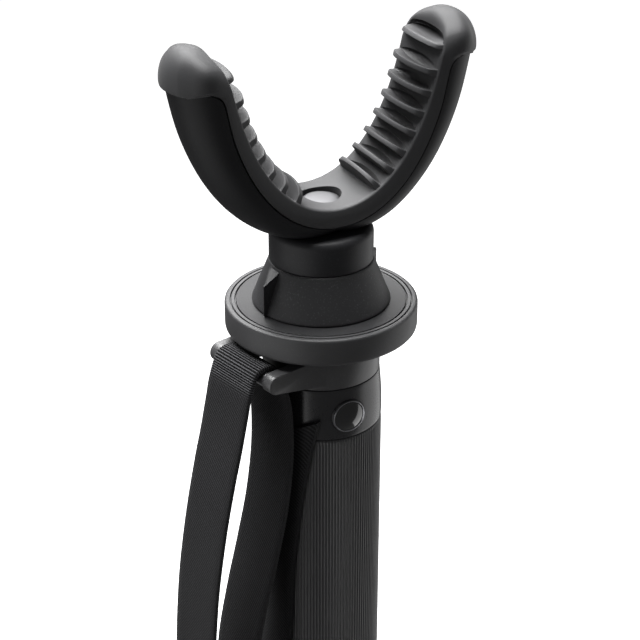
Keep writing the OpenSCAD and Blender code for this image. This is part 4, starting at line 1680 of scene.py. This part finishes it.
@dataclass
class Hardware:
    """Solids that keep their shape and get rounded edges and a finish."""

    # Solid, finish, and width of its edges' rounding in millimetres
    TRIM = (("rest_hub", "hub", 0.3), ("strap_ring", "strap_ring", 0.5),
            ("strap_bar", "steel", 0.3), ("collar", "collar", 0.2), ("top_plug", "plug", 0.2),
            ("stud", "steel", 0.2), ("upper_tube", "tube", 0.15), ("foot", "foot_rubber", 0.5),
            ("foot_plug", "bush", 0.2))
    # Solids of each section's end, with a number after the name
    ENDS = (("lock_", "lock", 0.4), ("lever_", "lever", 0.5), ("clamp_bolt_", "steel", 0.15),
            ("clamp_nut_", "steel", 0.2), ("guide_bush_", "bush", 0.15))
    INNER = (("tube_", "tube", 0.15), ("slide_ring_", "bush", 0.15))

    def solids(self) -> list[tuple[str, str, float]]:
        """Every solid with its finish and rounding.

        Returns:
            Name, finish and width of the rounding of each.
        """
        ends = [(name + str(n), finish, width) for n in (1, 2, 3) for name, finish, width in self.ENDS]
        inner = [(name + str(n), finish, width) for n in (2, 3, 4) for name, finish, width in self.INNER]
        return list(self.TRIM) + ends + inner

    def build(self, finishes: Finishes) -> None:
        """Round every solid and dress it.

        Args:
            finishes: The monopod's finishes.
        """
        bodies = frame["record"]["behaviour"]["bodies"]
        carrier = {node: body for body, nodes in bodies.items() for node in nodes}
        for node, finish, width in self.solids():
            piece = Bench.softened(node, width)
            finishes.fit(piece, finish, carrier[node], stands_for=[node])


@dataclass(frozen=True)
class Softbox:
    """One studio light, placed round the object. A turn of 0 is on the camera's side."""

    name: str
    turn: float
    lift: float
    distance: float
    size: float
    power: float

    def hang(self, target: Vector, facing: float) -> None:
        """Make the light and aim it.

        Args:
            target: Point that it lights.
            facing: Turn of the camera's side, in degrees from +X.
        """
        a = math.radians(facing + self.turn)
        e = math.radians(self.lift)
        away = Vector((math.cos(a) * math.cos(e), math.sin(a) * math.cos(e), math.sin(e)))
        light = bpy.data.lights.new(self.name, "AREA")
        light.shape = "SQUARE"
        light.size = self.size
        light.energy = self.power
        lamp = bpy.data.objects.new(self.name, light)
        lamp.location = target + self.distance * away
        lamp.rotation_euler = (-away).to_track_quat("-Z", "Y").to_euler()
        lamp.visible_camera = False
        bpy.context.scene.collection.objects.link(lamp)


@dataclass
class Studio:
    """Pale floor, soft lights and the camera."""

    eye: Vector = Vector((-0.2192, -0.4389, 0.7555))
    sight: Vector = Vector((0.3980, 0.7983, -0.4520))
    lens: float = 99.03
    sensor: float = 36.0
    near: float = 0.01
    facing: float = 243.5
    glow: float = 0.12
    paper: float = 0.92
    floor_size: float = 12.0
    floor_shades: Pair = (0.9, 0.93)
    floor_grain: float = 30.0
    floor_rough: float = 0.9
    floor_glow: float = 0.75
    boxes: tuple[Softbox, ...] = (
        Softbox("overhead", 222, 70, 2.6, 2.4, 240),
        Softbox("back_top", 190, 42, 2.4, 1.8, 60),
        Softbox("left_card", -58, -24, 1.6, 1.9, 13),
        Softbox("right_card", 114, -26, 1.6, 1.9, 12.5),
    )

    def build(self) -> None:
        """Set up floor, light and camera."""
        self._floor()
        world = bpy.data.worlds.new("studio")
        world.use_nodes = True
        self._backdrop(world.node_tree)
        bpy.context.scene.world = world
        target = Vector((0, 0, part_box("head_disc")[1].z))
        for box in self.boxes:
            box.hang(target, self.facing)
        self._camera()
        bpy.context.scene.view_settings.view_transform = "Standard"

    def _backdrop(self, tree: bpy.types.NodeTree) -> None:
        """Give the room a faint glow and a pale backdrop.

        Args:
            tree: Node tree of the world.
        """
        shader = tree.nodes["Background"]
        ray = tree.nodes.new("ShaderNodeLightPath")
        range_node = tree.nodes.new("ShaderNodeMapRange")
        range_node.inputs["To Min"].default_value = self.glow
        range_node.inputs["To Max"].default_value = self.paper
        tree.links.new(ray.outputs["Is Camera Ray"], range_node.inputs["Value"])
        tree.links.new(range_node.outputs["Result"], shader.inputs["Strength"])
        shader.inputs["Color"].default_value = (1, 1, 1, 1)

    def _floor(self) -> None:
        """Lay the floor under the drawn-out column. It lights nothing itself."""
        Bench.clear()
        travel = sum(joint["range_m"][1] for joint in frame["joints"] if joint["type"] == "slide")
        bpy.ops.mesh.primitive_plane_add(size=self.floor_size, location=(0, 0, -travel))
        bpy.ops.object.transform_apply(location=True)
        floor = bpy.context.object
        floor.name = "studio_floor"
        graph = Graph("floor_paper")
        graph.tint(graph.noise(self.floor_grain, 2.0), (1, 1, 1), *self.floor_shades)
        graph.feed("Roughness", self.floor_rough)
        graph.feed("Specular IOR Level", 0.0)
        graph.feed("Emission Color", (1, 1, 1, 1))
        graph.feed("Emission Strength", self.floor_glow)
        floor.data.materials.append(graph.material)
        floor.visible_diffuse = False
        floor.visible_glossy = False
        floor.visible_shadow = False

    def _camera(self) -> None:
        """Set the camera where the photograph was taken."""
        data = bpy.data.cameras.new("photo_camera")
        data.lens = self.lens
        data.sensor_width = self.sensor
        data.clip_start = self.near
        camera = bpy.data.objects.new("photo_camera", data)
        camera.location = self.eye
        camera.rotation_euler = self.sight.to_track_quat("-Z", "Y").to_euler()
        bpy.context.scene.collection.objects.link(camera)
        bpy.context.scene.camera = camera


def main() -> None:
    """Build and dress the monopod piece by piece, then the studio round it."""
    logging.basicConfig(level=logging.INFO, format="%(name)s: %(message)s")
    Studio().build()
    strap = Strap()
    line = strap.line()
    run = strap.lengths(line)
    finishes = Finishes(strap.finish(line, run))
    form = ArmForm()
    Shell(form).build(finishes)
    Liner(form).build(finishes)
    strap.build(finishes, line, run)
    Grip().build(finishes)
    Badge().build(finishes)
    Knob().build(finishes)
    Disc().build(finishes)
    Screw().build(finishes)
    Hardware().build(finishes)
    log.info("wrist strap %.1f mm long", run[-1])


if __name__ == "__main__":
    main()
